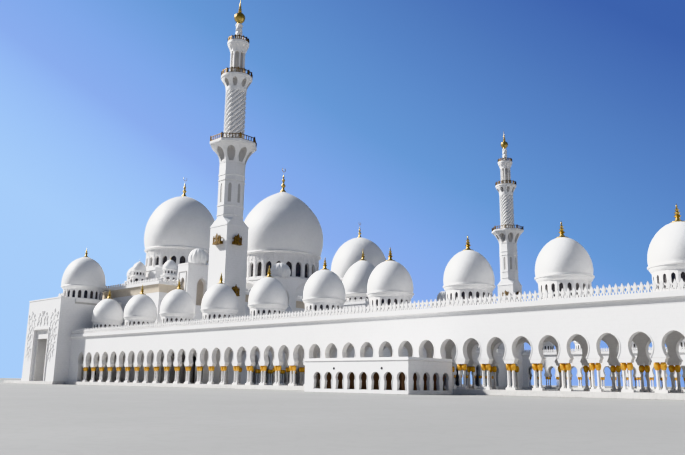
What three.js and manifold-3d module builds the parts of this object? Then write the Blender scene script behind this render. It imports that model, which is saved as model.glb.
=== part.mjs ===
// A domed mosque with a courtyard, as a 1:10 scale model in millimetres, +Z up.
// The origin is at the middle of the footprint, on the ground. The front looks along -Y, the prayer
// hall stands at the +Y end, and the whole building mirrors about the plane X = 0.
// Sizes are the real building's, in metres. Y is measured from the kerb line before the front portal.
import * as THREE from "three";
import { mergeVertices } from "three/addons/utils/BufferGeometryUtils.js";
import Module from "manifold-3d";

const wasm = await Module();
wasm.setup();

// Scale and running gap
const MM_PER_METRE = 100; // 1:10
const GAP = 0.003; // metres between pieces that meet

// Plan of the arcades round the courtyard
const OUTER_X = 86.7; // outer face of the side arcades
const COURT_X = 72.3; // courtyard face of the side arcades
const ROW_X = (OUTER_X + COURT_X) / 2; // line of the side domes
const FRONT_Y = 7.2; // outer face of the front arcade
const COURT_FRONT_Y = FRONT_Y + OUTER_X - COURT_X;
const COURT_REAR_Y = 144.9; // courtyard face of the arcade before the hall
const WALL = 1.1; // thickness of the arcade walls
const ARCH_PITCH = 4.304;
const BAY = 4 * ARCH_PITCH; // one dome to four arches
const SIDE_ARCH_Y = 13.9; // centre of the first arch of a side wall
const SIDE_ARCHES = 41;
const OPEN_BAY_ARCHES = 8; // arches of the first, separate stretch of the left wall
const SIDE_DOME_Y = 14.4;
const SIDE_DOMES = 11;
const FRONT_DOME_X = 62.3;
const FRONT_DOMES = 3; // on each side of a portal

// Levels of the arcades
const FLOOR_TOP = 0.8;
const WALL_TOP = 12.8;
const ROOF_TOP = 13.2;
const PARAPET_TOP = 13.6;
const PARAPET = 0.4; // thickness
const EAVES = 0.6; // how far the roof edge stands out
const KERB = 0.8; // how far the floor stands out

// Half outline of one arch: [distance from its middle, height]
const OUTER_ARCH = [[1.3, FLOOR_TOP], [1.2, 5.2], [1.64, 6.6], [1.3, 7.9], [0, 8.67]];
const COURT_ARCH = [[1.3, FLOOR_TOP], [1.2, 5.2], [1.64, 7.0], [0, 8.67]];

// Half outline of an arcade dome with its drum: [radius, height]
const ARCADE_DOME = [[3.9, ROOF_TOP - 0.3], [3.9, 16.7], [4.4, 18], [4.2, 20.3], [2.9, 22.6], [0, 24.3]];
const ARCADE_DOME_SIDES = 10;

// Portals with a dome, in the middle of each side and of the front
const PORTAL_HALF = 10.15;
const PORTAL_SLAB = 4.15; // how far the front slab stands out
const PORTAL_SLAB_TOP = 24.05;
const PORTAL_BLOCK_TOP = 22.6;
const PORTAL_ROOM_TOP = 20.4;
const PORTAL_WALL = 1.2;
const PORTAL_DOOR_HALF = 4.45;
const PORTAL_DOOR_TOP = 15.2;
const PORTAL_DOME = [
  [5.7, 22.3], [5.7, 27.4], [6.4, 28.6], [6.25, 30.8], [5.5, 33.5], [4, 35.8], [1.8, 37.4], [0, 38],
];
const DOOR = { half: 1.6, top: 6.5 }; // from a portal's room to the arcade beside it

// Prayer hall
const HALL_Y = 202.6; // line of the three great domes
const HALL_FRONT_Y = 172.5;
const HALL_BACK_Y = 2 * HALL_Y - HALL_FRONT_Y;
const HALL_X = COURT_X;
const HALL_WALL = 1.5;
const HALL_WALL_TOP = 27.3;
const HALL_ROOF_TOP = 28.2;
const HALL_PARAPET_TOP = 28.6;
const HALL_EAVES = 0.7;
const HALL_DOOR_HALF = 4.5;
const HALL_DOOR_TOP = 11;
const ROOF_SPLIT_X = 24; // the roof's middle third ends here
const HALL_ARCH_X = [22, 40, 58]; // doors in the front wall, windows in the back wall
const HALL_SILL = 3;

// Great domes
const CENTRE = {
  x: 0, base: 17, baseTop: 38.2, drum: 14.8, bore: 13.6, drumTop: 48.7, windowHalf: 1, sill: 39.4, head: 44.6,
};
const SIDE = {
  x: 45.8, base: 12.4, baseTop: 36.9, drum: 11.4, bore: 10.4, drumTop: 44, windowHalf: 0.8, sill: 38.1,
  head: 40.8,
};
const DRUM_SIDES = 24; // each side has a window
const CENTRE_OUTSIDE = [
  [15.4, CENTRE.drumTop], [16.1, 52.5], [16.2, 56.5], [15.2, 61], [12.9, 65.5], [9.3, 69.6], [4.8, 72.7],
  [1.3, 74.8],
];
const CENTRE_INSIDE = [[0, 72.6], [7.6, 69.2], [12.6, 63.4], [14.6, 56.5], [CENTRE.bore, CENTRE.drumTop]];
const SIDE_OUTSIDE = [
  [11.8, SIDE.drumTop], [12.4, 48.5], [12.2, 51.7], [11, 55.4], [8.6, 59.3], [5, 62], [1.1, 63.5],
];
const SIDE_INSIDE = [[0, 61.8], [7, 58.6], [10.8, 52.2], [SIDE.bore, SIDE.drumTop]];
const CENTRE_FINIAL = [
  [0, 74.8], [1.2, 74.8], [0.5, 76.4], [0.95, 77.4], [0.4, 78.7], [0.6, 79.8], [0.2, 81.2], [0, 84.9],
];
const SIDE_FINIAL = [
  [0, 63.5], [1, 63.5], [0.4, 64.7], [0.75, 65.5], [0.3, 66.5], [0.45, 67.3], [0.15, 68.3], [0, 70.8],
];
const FINIAL_SIDES = 6;

// Blind arch in each face of the centre dome's base, half outline
const BASE_NICHE = [[8, HALL_ROOF_TOP - 0.5], [8, 31], [7, 34.2], [4, 36.2], [0, 37]];
const NICHE_DEPTH = 1.2;

// Lanterns
const LANTERN_RING = 15.3;
const LANTERNS = 8; // round each side dome
const LANTERN = [[2.7, 27.9], [2.7, 33.8], [2.2, 34], [2.3, 36.3], [1.5, 38.2], [0, 38.9]];
const LANTERN_SIDES = 8;

// Towers on the arcade roof, in pairs before the side domes
const TOWER_X = [29.4, 61.7];
const TOWER_HALF = 4.9;
const TOWER_FRONT_Y = 167.4;
const TOWER_TOP = 34.2;
const TOWER_NICHE = [[2.2, 16], [2.2, 27.6], [1.5, 29.4], [0, 30.3]];
const TOWER_NICHE_DEPTH = 1.4;
const TOWER_DOME = [[0, 33.9], [2.9, 33.9], [3.35, 35.4], [2.9, 37.4], [1.5, 38.7], [0, 39.2]];
const TOWER_DOME_SIDES = 10;

// Raised block over the hall's entrance
const ENTRANCE_Y = 160.2;
const ENTRANCE_HALF = 10;
const ENTRANCE_TOP = 27.3;
const ENTRANCE_DOME = [
  [6.7, 27], [6.7, 29.6], [7.5, 30.6], [7.6, 33], [6.6, 37.4], [3.9, 41.2], [0, 43],
];
const PORTAL_DOME_SIDES = 14;

// Minarets, with heights of their own profile: [half width across flats or radius, height]
const MINARET_X = 70.75;
const MINARET_Y = [22.5, 144];
const MINARET_BASE_HALF = 3.45;
const MINARET_BASE_TOP = 40.5;
const OCTAGON_HALF = 3.25;
const OCTAGON_FROM = 43.5;
const LOWER_BALCONY = [
  [0, 43], [OCTAGON_HALF, 43], [OCTAGON_HALF, 58.2], [4.2, 60.2], [5.6, 62.2], [5.95, 63.1], [5.95, 65.3],
  [5.7, 65.3], [5.7, 63.9], [0, 63.9],
];
const ROUND_SHAFT = [
  [0, 63.9], [2.72, 63.9], [2.72, 77.8], [3.5, 79.9], [4.15, 81.6], [4.25, 82.5], [4.25, 84.3], [4.07, 84.3],
  [4.07, 83], [1.9, 83], [1.9, 88.6], [2.5, 90.4], [2.95, 91.8], [2.98, 94.1], [2.83, 94.1], [2.83, 92.9],
  [0.9, 92.9], [1.1, 95], [0.85, 97.9], [0, 97.9],
];
const SHAFT_SIDES = 8;
const LANTERN_SLOT = { half: 0.7, from: 83.6, to: 88.2 };
const MINARET_FINIAL = [
  [0, 97.9], [0.6, 97.9], [1.5, 98.9], [1.55, 99.6], [1, 100.6], [0.3, 101.4], [0.22, 103.8], [0, 106.7],
];

// Low wings before the side arcades
const WING_OUTER_X = 98.7;
const WING_FROM_Y = 64.3;
const WING_TO_Y = 85.8;
const WING_TOP = 5.35;
const WING_WALL = 0.5;
const WING_FLOOR = 0.55;
const WING_ARCH = [[0.55, WING_FLOOR], [0.5, 1.9], [0.75, 2.4], [0, 3.15]];
const WING_ARCH_PITCH = 2.47;
const WING_FIRST_ARCH = 1.6; // from the wing's front end
const WING_ARCHES = 8;
const WING_END_ARCHES = 4;

// The middle of the footprint on Y lies between the kerb before the front portal and the hall's eaves
const FOOTPRINT_FRONT_Y = FRONT_Y - PORTAL_SLAB - 0.25;
const FOOTPRINT_BACK_Y = HALL_BACK_Y + HALL_EAVES;
const MIDDLE_Y = (FOOTPRINT_FRONT_Y + FOOTPRINT_BACK_Y) / 2;

const marble = new THREE.MeshStandardMaterial({ color: 0xf1eeea, roughness: 0.45, metalness: 0 });
const paleStone = new THREE.MeshStandardMaterial({ color: 0xdedad3, roughness: 0.55, metalness: 0 });
const gilding = new THREE.MeshStandardMaterial({ color: 0xd9a53a, roughness: 0.25, metalness: 1 });

// A closed geometry, in metres of the plan, as a solid that can be joined and cut.
function solid(geometry) {
  geometry.deleteAttribute("normal");
  geometry.deleteAttribute("uv");
  const merged = mergeVertices(geometry, 1e-5);
  return new wasm.Manifold(
    new wasm.Mesh({
      numProp: 3,
      vertProperties: merged.attributes.position.array,
      triVerts: new Uint32Array(merged.index.array),
    }),
  );
}

// A named mesh of a solid, with metres of the plan turned into model millimetres.
function piece(name, body, material, origin = { x: 0, y: MIDDLE_Y }) {
  const { vertProperties, triVerts } = body.getMesh();
  const geometry = new THREE.BufferGeometry();
  geometry.setAttribute("position", new THREE.BufferAttribute(new Float32Array(vertProperties), 3));
  geometry.setIndex(new THREE.BufferAttribute(new Uint32Array(triVerts), 1));
  geometry.translate(-origin.x, -origin.y, 0);
  geometry.scale(MM_PER_METRE, MM_PER_METRE, MM_PER_METRE);
  geometry.computeVertexNormals();
  const mesh = new THREE.Mesh(geometry, material);
  mesh.name = name;
  return mesh;
}

function block(x0, x1, y0, y1, z0, z1) {
  const box = new THREE.BoxGeometry(Math.abs(x1 - x0), y1 - y0, z1 - z0);
  box.translate((x0 + x1) / 2, (y0 + y1) / 2, (z0 + z1) / 2);
  return solid(box);
}

// A profile of [radius, height] turned about a vertical axis through (x, y).
function turned(profile, sides, x = 0, y = 0, turn = 0) {
  const first = profile[0][0] === 0 ? profile : [[0, profile[0][1]], ...profile];
  const last = first[first.length - 1];
  const closed = last[0] === 0 ? first : [...first, [0, last[1]]];
  const points = closed.map(([radius, height]) => new THREE.Vector2(radius, height));
  const lathe = new THREE.LatheGeometry(points, sides);
  lathe.rotateX(Math.PI / 2);
  lathe.rotateZ(turn);
  lathe.translate(x, y, 0);
  return solid(lathe);
}

// The same with flat sides that face the axes: a profile gives half widths across flats.
function prismatic(profile, sides, x = 0, y = 0) {
  const widen = 1 / Math.cos(Math.PI / sides);
  const corners = profile.map(([half, height]) => [half * widen, height]);
  return turned(corners, sides, x, y, Math.PI / sides);
}

// A closed outline of [along, height], given a thickness from the plane at = 0 towards +.
function upright(outline, thickness) {
  const shape = new THREE.Shape(outline.map(([along, height]) => new THREE.Vector2(along, height)));
  const slab = new THREE.ExtrudeGeometry(shape, { depth: thickness, bevelEnabled: false });
  slab.rotateX(Math.PI / 2);
  slab.translate(0, thickness, 0);
  return slab;
}

// An upright slab that runs along X, or along Y, with its low corner plane at the given place.
function alongX(outline, y, thickness) {
  const slab = upright(outline, thickness);
  slab.translate(0, y, 0);
  return solid(slab);
}

function alongY(outline, x, thickness) {
  const slab = upright(outline, thickness);
  slab.rotateZ(Math.PI / 2);
  slab.translate(x + thickness, 0, 0);
  return solid(slab);
}

// The outline of a whole arch about its middle, from the right foot over the top to the left foot.
function archOutline(half, middle) {
  const right = half.map(([out, height]) => [middle + out, height]);
  const left = half.slice(0, -1).reverse().map(([out, height]) => [middle - out, height]);
  return [...right, ...left];
}

// The outline of a wall on piers: arches open down to the wall's foot.
function arcadeOutline(from, to, foot, top, half, middles) {
  const arches = [...middles].reverse().flatMap((middle) => archOutline(half, middle));
  return [[to, foot], ...arches, [from, foot], [from, top], [to, top]];
}

function evenly(first, count, pitch) {
  return Array.from({ length: count }, (_, i) => first + i * pitch);
}

function joined(bodies) {
  return bodies.reduce((whole, body) => whole.add(body));
}

function cut(body, tools) {
  return tools.reduce((rest, tool) => rest.subtract(tool), body);
}

// Low and high X of a slab on one side of the building, from its outer and inner distance.
function across(side, outer, inner) {
  return side < 0 ? [-outer, -inner] : [inner, outer];
}

function minaretHole(x, y, z0, z1) {
  const reach = MINARET_BASE_HALF + GAP;
  return block(x - reach, x + reach, y - reach, y + reach, z0, z1);
}

const SIDES = [["left", -1], ["right", 1]];
const MINARET_FRONT_CLEAR_Y = MINARET_Y[0] + MINARET_BASE_HALF + GAP;
const MINARET_REAR_CLEAR_Y = MINARET_Y[1] - MINARET_BASE_HALF - GAP;
const MINARET_CLEAR_X = MINARET_X - MINARET_BASE_HALF - GAP;
const PORTAL_FROM_Y = HALL_Y - PORTAL_HALF;
const PORTAL_TO_Y = HALL_Y + PORTAL_HALF;
const FOOT = FLOOR_TOP + GAP;
const DRUM_TURN = Math.PI / DRUM_SIDES; // brings the middle of a side onto the X axis
const BASE_FOOT = HALL_ROOF_TOP + GAP; // underside of the great domes' bases

function sideFloor(side) {
  const [x0, x1] = across(side, OUTER_X + KERB, COURT_X - KERB);
  const main = block(x0, x1, FRONT_Y - KERB, HALL_BACK_Y + EAVES, 0, FLOOR_TOP);
  const [step0, step1] = across(side, OUTER_X + PORTAL_SLAB + 0.25, OUTER_X);
  const step = block(step0, step1, PORTAL_FROM_Y - 0.25, PORTAL_TO_Y + 0.25, 0, FLOOR_TOP);
  const holes = MINARET_Y.map((y) => minaretHole(side * MINARET_X, y, -1, FLOOR_TOP + 1));
  return cut(main.add(step), holes);
}

function frontFloor() {
  const reach = COURT_X - KERB - GAP;
  const main = block(-reach, reach, FRONT_Y - KERB, COURT_FRONT_Y + KERB, 0, FLOOR_TOP);
  const half = PORTAL_HALF + 0.25;
  const step = block(-half, half, FOOTPRINT_FRONT_Y, FRONT_Y, 0, FLOOR_TOP);
  const holes = [-1, 1].map((side) => minaretHole(side * MINARET_X, MINARET_Y[0], -1, FLOOR_TOP + 1));
  return cut(main.add(step), holes);
}

function hallFloor() {
  const reach = COURT_X - KERB - GAP;
  const main = block(-reach, reach, COURT_REAR_Y - KERB, HALL_BACK_Y + EAVES, 0, FLOOR_TOP);
  const holes = [-1, 1].map((side) => minaretHole(side * MINARET_X, MINARET_Y[1], -1, FLOOR_TOP + 1));
  return cut(main, holes);
}

function sideWall(side, fromY, toY, middles) {
  const [x0] = across(side, OUTER_X, OUTER_X - WALL);
  return alongY(arcadeOutline(fromY, toY, FOOT, WALL_TOP, OUTER_ARCH, middles), x0, WALL);
}

function frontWall(side) {
  const near = PORTAL_HALF + GAP;
  const far = OUTER_X - WALL - GAP;
  const middles = evenly(near + 2.6, 16, ARCH_PITCH);
  const outline = arcadeOutline(near, far, FOOT, WALL_TOP, OUTER_ARCH, middles);
  const turnedOutline = side > 0 ? outline : outline.map(([along, height]) => [-along, height]).reverse();
  return alongX(turnedOutline, FRONT_Y, WALL);
}

function courtSideWall(side) {
  const from = MINARET_FRONT_CLEAR_Y;
  const to = MINARET_REAR_CLEAR_Y;
  const count = Math.floor((to - from - 1) / ARCH_PITCH);
  const first = (from + to - (count - 1) * ARCH_PITCH) / 2;
  const [x0] = across(side, COURT_X + WALL, COURT_X);
  const outline = arcadeOutline(from, to, FOOT, WALL_TOP, COURT_ARCH, evenly(first, count, ARCH_PITCH));
  return alongY(outline, x0, WALL);
}

function courtEndWall(y) {
  const count = 2 * Math.floor((MINARET_CLEAR_X - 0.6) / ARCH_PITCH - 0.5) + 1;
  const first = (-(count - 1) * ARCH_PITCH) / 2;
  const reach = MINARET_CLEAR_X;
  const outline = arcadeOutline(-reach, reach, FOOT, WALL_TOP, COURT_ARCH, evenly(first, count, ARCH_PITCH));
  return alongX(outline, y, WALL);
}

function arcadeDome(x, y) {
  return turned(ARCADE_DOME, ARCADE_DOME_SIDES, x, y);
}

function sideRoof(side) {
  const outer = OUTER_X + EAVES;
  const inner = COURT_X - EAVES;
  const from = FRONT_Y - EAVES;
  const to = PORTAL_FROM_Y - GAP;
  const [x0, x1] = across(side, outer, inner);
  const [px0, px1] = across(side, outer, outer - PARAPET);
  const [cx0, cx1] = across(side, inner + PARAPET, inner);
  const [hx0, hx1] = across(side, HALL_X + GAP, 0);
  const slab = block(x0, x1, from, to, WALL_TOP + GAP, ROOF_TOP);
  const parapets = [
    block(px0, px1, from, to, ROOF_TOP - 0.1, PARAPET_TOP),
    block(x0, x1, from, from + PARAPET, ROOF_TOP - 0.1, PARAPET_TOP),
    block(cx0, cx1, MINARET_FRONT_CLEAR_Y, MINARET_REAR_CLEAR_Y, ROOF_TOP - 0.1, PARAPET_TOP),
  ];
  const domes = evenly(SIDE_DOME_Y, SIDE_DOMES, BAY).map((y) => arcadeDome(side * ROW_X, y));
  const holes = MINARET_Y.map((y) => minaretHole(side * MINARET_X, y, 0, PARAPET_TOP + 1));
  const hall = block(hx0, hx1, HALL_FRONT_Y - HALL_WALL, to + 1, 0, ROOF_TOP + 1);
  return cut(joined([slab, ...parapets, ...domes]), [...holes, hall]);
}

function rowDomes(y) {
  const places = evenly(FRONT_DOME_X, FRONT_DOMES, -BAY);
  return places.flatMap((x) => [arcadeDome(-x, y), arcadeDome(x, y)]);
}

function frontRoof() {
  const reach = COURT_X - EAVES - GAP;
  const from = FRONT_Y - EAVES;
  const to = COURT_FRONT_Y + EAVES;
  const slab = block(-reach, reach, from, to, WALL_TOP + GAP, ROOF_TOP);
  const parapets = [
    block(-reach, reach, from, from + PARAPET, ROOF_TOP - 0.1, PARAPET_TOP),
    block(-reach, reach, to - PARAPET, to, ROOF_TOP - 0.1, PARAPET_TOP),
  ];
  const holes = [-1, 1].map((side) => minaretHole(side * MINARET_X, MINARET_Y[0], 0, PARAPET_TOP + 1));
  const half = PORTAL_HALF + GAP;
  const portal = block(-half, half, 0, COURT_FRONT_Y - WALL, 0, PARAPET_TOP + 1);
  return cut(joined([slab, ...parapets, ...rowDomes((FRONT_Y + COURT_FRONT_Y) / 2)]), [...holes, portal]);
}

function rearRoof() {
  const reach = COURT_X - EAVES - GAP;
  const from = COURT_REAR_Y - EAVES;
  const slab = block(-reach, reach, from, HALL_FRONT_Y - GAP, WALL_TOP + GAP, ROOF_TOP);
  const parapet = block(-reach, reach, from, from + PARAPET, ROOF_TOP - 0.1, PARAPET_TOP);
  const holes = [-1, 1].map((side) => minaretHole(side * MINARET_X, MINARET_Y[1], 0, PARAPET_TOP + 1));
  const row = rowDomes(COURT_REAR_Y + (OUTER_X - COURT_X) / 2);
  return cut(joined([slab, parapet, ...row]), holes);
}

// A portal that looks along -Y, about its own origin on the dome's axis.
function portalBody(behind) {
  const depth = (OUTER_X - COURT_X) / 2;
  const back = depth - behind - GAP;
  const front = -depth - PORTAL_SLAB;
  const half = PORTAL_HALF;
  const room = half - PORTAL_WALL;
  const body = joined([
    block(-half, half, front, -depth + PORTAL_WALL, FOOT, PORTAL_SLAB_TOP),
    block(-half, half, -depth, back, FOOT, PORTAL_BLOCK_TOP),
    turned(PORTAL_DOME, PORTAL_DOME_SIDES),
  ]);
  return cut(body, [
    block(-room, room, -depth + PORTAL_WALL, back - PORTAL_WALL, 0, PORTAL_ROOM_TOP),
    block(-PORTAL_DOOR_HALF, PORTAL_DOOR_HALF, front - 1, back + 1, 0, PORTAL_DOOR_TOP),
    block(-half - 1, half + 1, -DOOR.half, DOOR.half, 0, DOOR.top),
  ]);
}

function portal(name, x, y, turn, behind) {
  const group = new THREE.Group();
  group.position.set(x * MM_PER_METRE, (y - MIDDLE_Y) * MM_PER_METRE, 0);
  group.rotation.z = turn;
  group.add(piece(name, portalBody(behind), marble, { x: 0, y: 0 }));
  return group;
}

function niche(half, middle, y, depth) {
  return alongX(archOutline(half, middle), y, depth);
}

function hallFrontWall() {
  const reach = HALL_X - WALL - GAP;
  const body = block(-reach, reach, HALL_FRONT_Y, HALL_FRONT_Y + HALL_WALL, FOOT, HALL_WALL_TOP);
  const middles = HALL_ARCH_X.flatMap((x) => [-x, x]);
  return cut(body, [
    block(-HALL_DOOR_HALF, HALL_DOOR_HALF, HALL_FRONT_Y - 1, HALL_FRONT_Y + HALL_WALL + 1, 0, HALL_DOOR_TOP),
    ...middles.map((x) => niche(OUTER_ARCH.with(0, [1.3, 0]), x, HALL_FRONT_Y - 1, HALL_WALL + 2)),
  ]);
}

function hallBackWall() {
  const reach = HALL_X - WALL - GAP;
  const body = block(-reach, reach, HALL_BACK_Y - HALL_WALL, HALL_BACK_Y, FOOT, HALL_WALL_TOP);
  const middles = HALL_ARCH_X.flatMap((x) => [-x, x]);
  const window = OUTER_ARCH.with(0, [1.3, HALL_SILL]);
  return cut(body, middles.map((x) => niche(window, x, HALL_BACK_Y - HALL_WALL - 1, HALL_WALL + 2)));
}

// The hall's side wall, with a low stretch of arches beside the arcade before the hall.
function hallSideWall(side) {
  const low = MINARET_Y[1] + MINARET_BASE_HALF + GAP;
  const high = HALL_FRONT_Y;
  const middles = evenly(low + 3, 5, ARCH_PITCH);
  const arches = [...middles].reverse().flatMap((middle) => archOutline(COURT_ARCH, middle));
  const outline = [
    [HALL_BACK_Y, FOOT], ...arches, [low, FOOT], [low, WALL_TOP], [high, WALL_TOP], [high, HALL_WALL_TOP],
    [HALL_BACK_Y, HALL_WALL_TOP],
  ];
  const [x0, x1] = across(side, HALL_X, HALL_X - WALL);
  const door = block(x0 - 1, x1 + 1, HALL_Y - PORTAL_DOOR_HALF, HALL_Y + PORTAL_DOOR_HALF, 0, HALL_DOOR_TOP);
  return alongY(outline, x0, WALL).subtract(door);
}

// The round space under a great dome, through the roof and the dome's base.
function domeBore(dome, sign) {
  return turned([[dome.bore, 20], [dome.bore, 60]], DRUM_SIDES, sign * dome.x, HALL_Y, DRUM_TURN);
}

function squareBase() {
  const half = CENTRE.base;
  const body = block(-half, half, HALL_Y - half, HALL_Y + half, BASE_FOOT, CENTRE.baseTop);
  return cut(body, [...baseNiches(), domeBore(CENTRE, 1)]);
}

function octagonBase(sign) {
  const body = prismatic([[SIDE.base, BASE_FOOT], [SIDE.base, SIDE.baseTop]], 8, sign * SIDE.x, HALL_Y);
  return body.subtract(domeBore(SIDE, sign));
}

function baseNiches() {
  const front = HALL_Y - CENTRE.base;
  const back = HALL_Y + CENTRE.base;
  const ends = [front - 1, back - NICHE_DEPTH].map((y) => niche(BASE_NICHE, 0, y, NICHE_DEPTH + 1));
  const outline = archOutline(BASE_NICHE, HALL_Y);
  const places = [-CENTRE.base - 1, CENTRE.base - NICHE_DEPTH];
  return [...ends, ...places.map((x) => alongY(outline, x, NICHE_DEPTH + 1))];
}

// The hall's roof with its lanterns, from one X to another.
function hallRoof(fromX, toX) {
  const reach = HALL_X + HALL_EAVES;
  const from = HALL_FRONT_Y - HALL_EAVES;
  const to = HALL_BACK_Y + HALL_EAVES;
  const slab = block(-reach, reach, from, to, HALL_WALL_TOP + GAP, HALL_ROOF_TOP);
  const rim = block(-reach, reach, from, to, HALL_ROOF_TOP - 0.1, HALL_PARAPET_TOP);
  const free = reach - PARAPET;
  const inside = block(-free, free, from + PARAPET, to - PARAPET, HALL_ROOF_TOP, HALL_PARAPET_TOP + 1);
  const lanterns = [-1, 1].flatMap((sign) =>
    evenly(0, LANTERNS, 1).map((place) => {
      const angle = (place / LANTERNS) * 2 * Math.PI;
      const x = sign * SIDE.x + LANTERN_RING * Math.cos(angle);
      return turned(LANTERN, LANTERN_SIDES, x, HALL_Y + LANTERN_RING * Math.sin(angle));
    }),
  );
  const bores = [domeBore(CENTRE, 1), domeBore(SIDE, -1), domeBore(SIDE, 1)];
  const towers = TOWER_X.flatMap((x) => [towerShape(-x, GAP), towerShape(x, GAP)]);
  const whole = cut(joined([slab.add(rim).subtract(inside), ...lanterns]), [...bores, ...towers]);
  return whole.intersect(block(fromX, toX, from, to, 0, CENTRE.baseTop + 10));
}

function drum(dome, sign) {
  const x = sign * dome.x;
  const bottom = dome.baseTop + GAP;
  const { bore, drumTop } = dome;
  const ring = [[bore, bottom], [dome.drum, bottom], [dome.drum, drumTop], [bore, drumTop]];
  const points = [...ring, ring[0]].map(([radius, height]) => new THREE.Vector2(radius, height));
  const lathe = new THREE.LatheGeometry(points, DRUM_SIDES);
  lathe.rotateX(Math.PI / 2);
  lathe.rotateZ(DRUM_TURN);
  lathe.translate(x, HALL_Y, 0);
  const windows = evenly(0, DRUM_SIDES, 1).map((place) => {
    const opening = new THREE.BoxGeometry(3, 2 * dome.windowHalf, dome.head - dome.sill);
    opening.translate((dome.drum + dome.bore) / 2, 0, (dome.head + dome.sill) / 2);
    opening.rotateZ((place / DRUM_SIDES) * 2 * Math.PI);
    opening.translate(x, HALL_Y, 0);
    return solid(opening);
  });
  return cut(solid(lathe), windows);
}

function domeShell(dome, inside, outside, sign) {
  const lifted = ([radius, height]) => [radius, height === dome.drumTop ? height + GAP : height];
  return turned([...inside, ...outside].map(lifted), DRUM_SIDES, sign * dome.x, HALL_Y, DRUM_TURN);
}

function finial(profile, x, y) {
  const lifted = profile.map(([radius, height], i) => [radius, i < 2 ? height + GAP : height]);
  return turned(lifted, FINIAL_SIDES, x, y);
}

function towerShape(x, margin) {
  const half = TOWER_HALF + margin;
  const back = HALL_FRONT_Y - (margin ? 0 : GAP);
  return block(x - half, x + half, TOWER_FRONT_Y - margin, back, ROOF_TOP + GAP - margin, TOWER_TOP + margin);
}

function tower(x) {
  const dome = turned(TOWER_DOME, TOWER_DOME_SIDES, x, (TOWER_FRONT_Y + HALL_FRONT_Y) / 2);
  return towerShape(x, 0).add(dome).subtract(niche(TOWER_NICHE, x, TOWER_FRONT_Y - 1, TOWER_NICHE_DEPTH + 1));
}

function entranceBlock() {
  const half = ENTRANCE_HALF;
  const body = block(-half, half, ENTRANCE_Y - half, ENTRANCE_Y + half, ROOF_TOP + GAP, ENTRANCE_TOP);
  return body.add(turned(ENTRANCE_DOME, PORTAL_DOME_SIDES, 0, ENTRANCE_Y));
}

function minaretTower() {
  const half = MINARET_BASE_HALF;
  const square = block(-half, half, -half, half, 0, OCTAGON_FROM);
  const widest = half * Math.SQRT2 + 0.01;
  const chamfer = prismatic([[widest, 0], [widest, MINARET_BASE_TOP], [OCTAGON_HALF, OCTAGON_FROM]], 8);
  return square.intersect(chamfer).add(prismatic(LOWER_BALCONY, 8));
}

function minaretShaft() {
  const lifted = ROUND_SHAFT.map(([radius, height], i) => [radius, i < 2 ? height + GAP : height]);
  const { half, from, to } = LANTERN_SLOT;
  const slots = [block(-5, 5, -half, half, from, to), block(-half, half, -5, 5, from, to)];
  const lantern = block(-2.4, 2.4, -2.4, 2.4, from, to);
  const cutters = slots.map((slot) => slot.intersect(lantern));
  return cut(turned(lifted, SHAFT_SIDES), cutters);
}

function minaret(name, x, y) {
  const group = new THREE.Group();
  group.position.set(x * MM_PER_METRE, (y - MIDDLE_Y) * MM_PER_METRE, 0);
  const origin = { x: 0, y: 0 };
  group.add(piece(name + "_tower", minaretTower(), marble, origin));
  group.add(piece(name + "_shaft", minaretShaft(), marble, origin));
  group.add(piece(name + "_finial", finial(MINARET_FINIAL, 0, 0), gilding, origin));
  return group;
}

function lowWing(side) {
  const inner = OUTER_X + KERB + GAP;
  const [x0, x1] = across(side, WING_OUTER_X, inner);
  const [rx0, rx1] = across(side, WING_OUTER_X - WING_WALL, inner - 1);
  const body = block(x0, x1, WING_FROM_Y, WING_TO_Y, 0, WING_TOP);
  const ceiling = WING_TOP - WING_WALL;
  const room = block(rx0, rx1, WING_FROM_Y + WING_WALL, WING_TO_Y - WING_WALL, WING_FLOOR, ceiling);
  const [ax0] = across(side, WING_OUTER_X + 0.5, WING_OUTER_X - WING_WALL - 0.5);
  const arches = evenly(WING_FROM_Y + WING_FIRST_ARCH, WING_ARCHES, WING_ARCH_PITCH).map((y) =>
    alongY(archOutline(WING_ARCH, y), ax0, WING_WALL + 1),
  );
  const endPlaces = evenly(-1.5 * WING_ARCH_PITCH, WING_END_ARCHES, WING_ARCH_PITCH);
  const ends = endPlaces.map((x) =>
    alongX(archOutline(WING_ARCH, (x0 + x1) / 2 + x), WING_FROM_Y - 0.5, WING_WALL + 1),
  );
  return cut(body, [room, ...arches, ...ends]);
}

const mosque = new THREE.Group();
mosque.name = "mosque";

for (const [name, side] of SIDES) {
  mosque.add(piece(name + "_floor", sideFloor(side), paleStone));
  mosque.add(piece(name + "_court_wall", courtSideWall(side), marble));
  mosque.add(piece(name + "_roof", sideRoof(side), marble));
  mosque.add(piece("front_wall_" + name, frontWall(side), marble));
  mosque.add(piece("hall_" + name + "_wall", hallSideWall(side), marble));
  mosque.add(piece(name + "_low_wing", lowWing(side), marble));
  const [fromX, toX] = across(side, HALL_X + HALL_EAVES, ROOF_SPLIT_X + GAP);
  mosque.add(piece("hall_roof_" + name, hallRoof(fromX, toX), marble));
  mosque.add(piece(name + "_dome_base", octagonBase(side), marble));
  mosque.add(piece(name + "_drum", drum(SIDE, side), marble));
  mosque.add(piece(name + "_dome", domeShell(SIDE, SIDE_INSIDE, SIDE_OUTSIDE, side), marble));
  mosque.add(piece(name + "_dome_finial", finial(SIDE_FINIAL, side * SIDE.x, HALL_Y), gilding));
  mosque.add(piece(name + "_inner_tower", tower(side * TOWER_X[0]), marble));
  mosque.add(piece(name + "_outer_tower", tower(side * TOWER_X[1]), marble));
}

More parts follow.
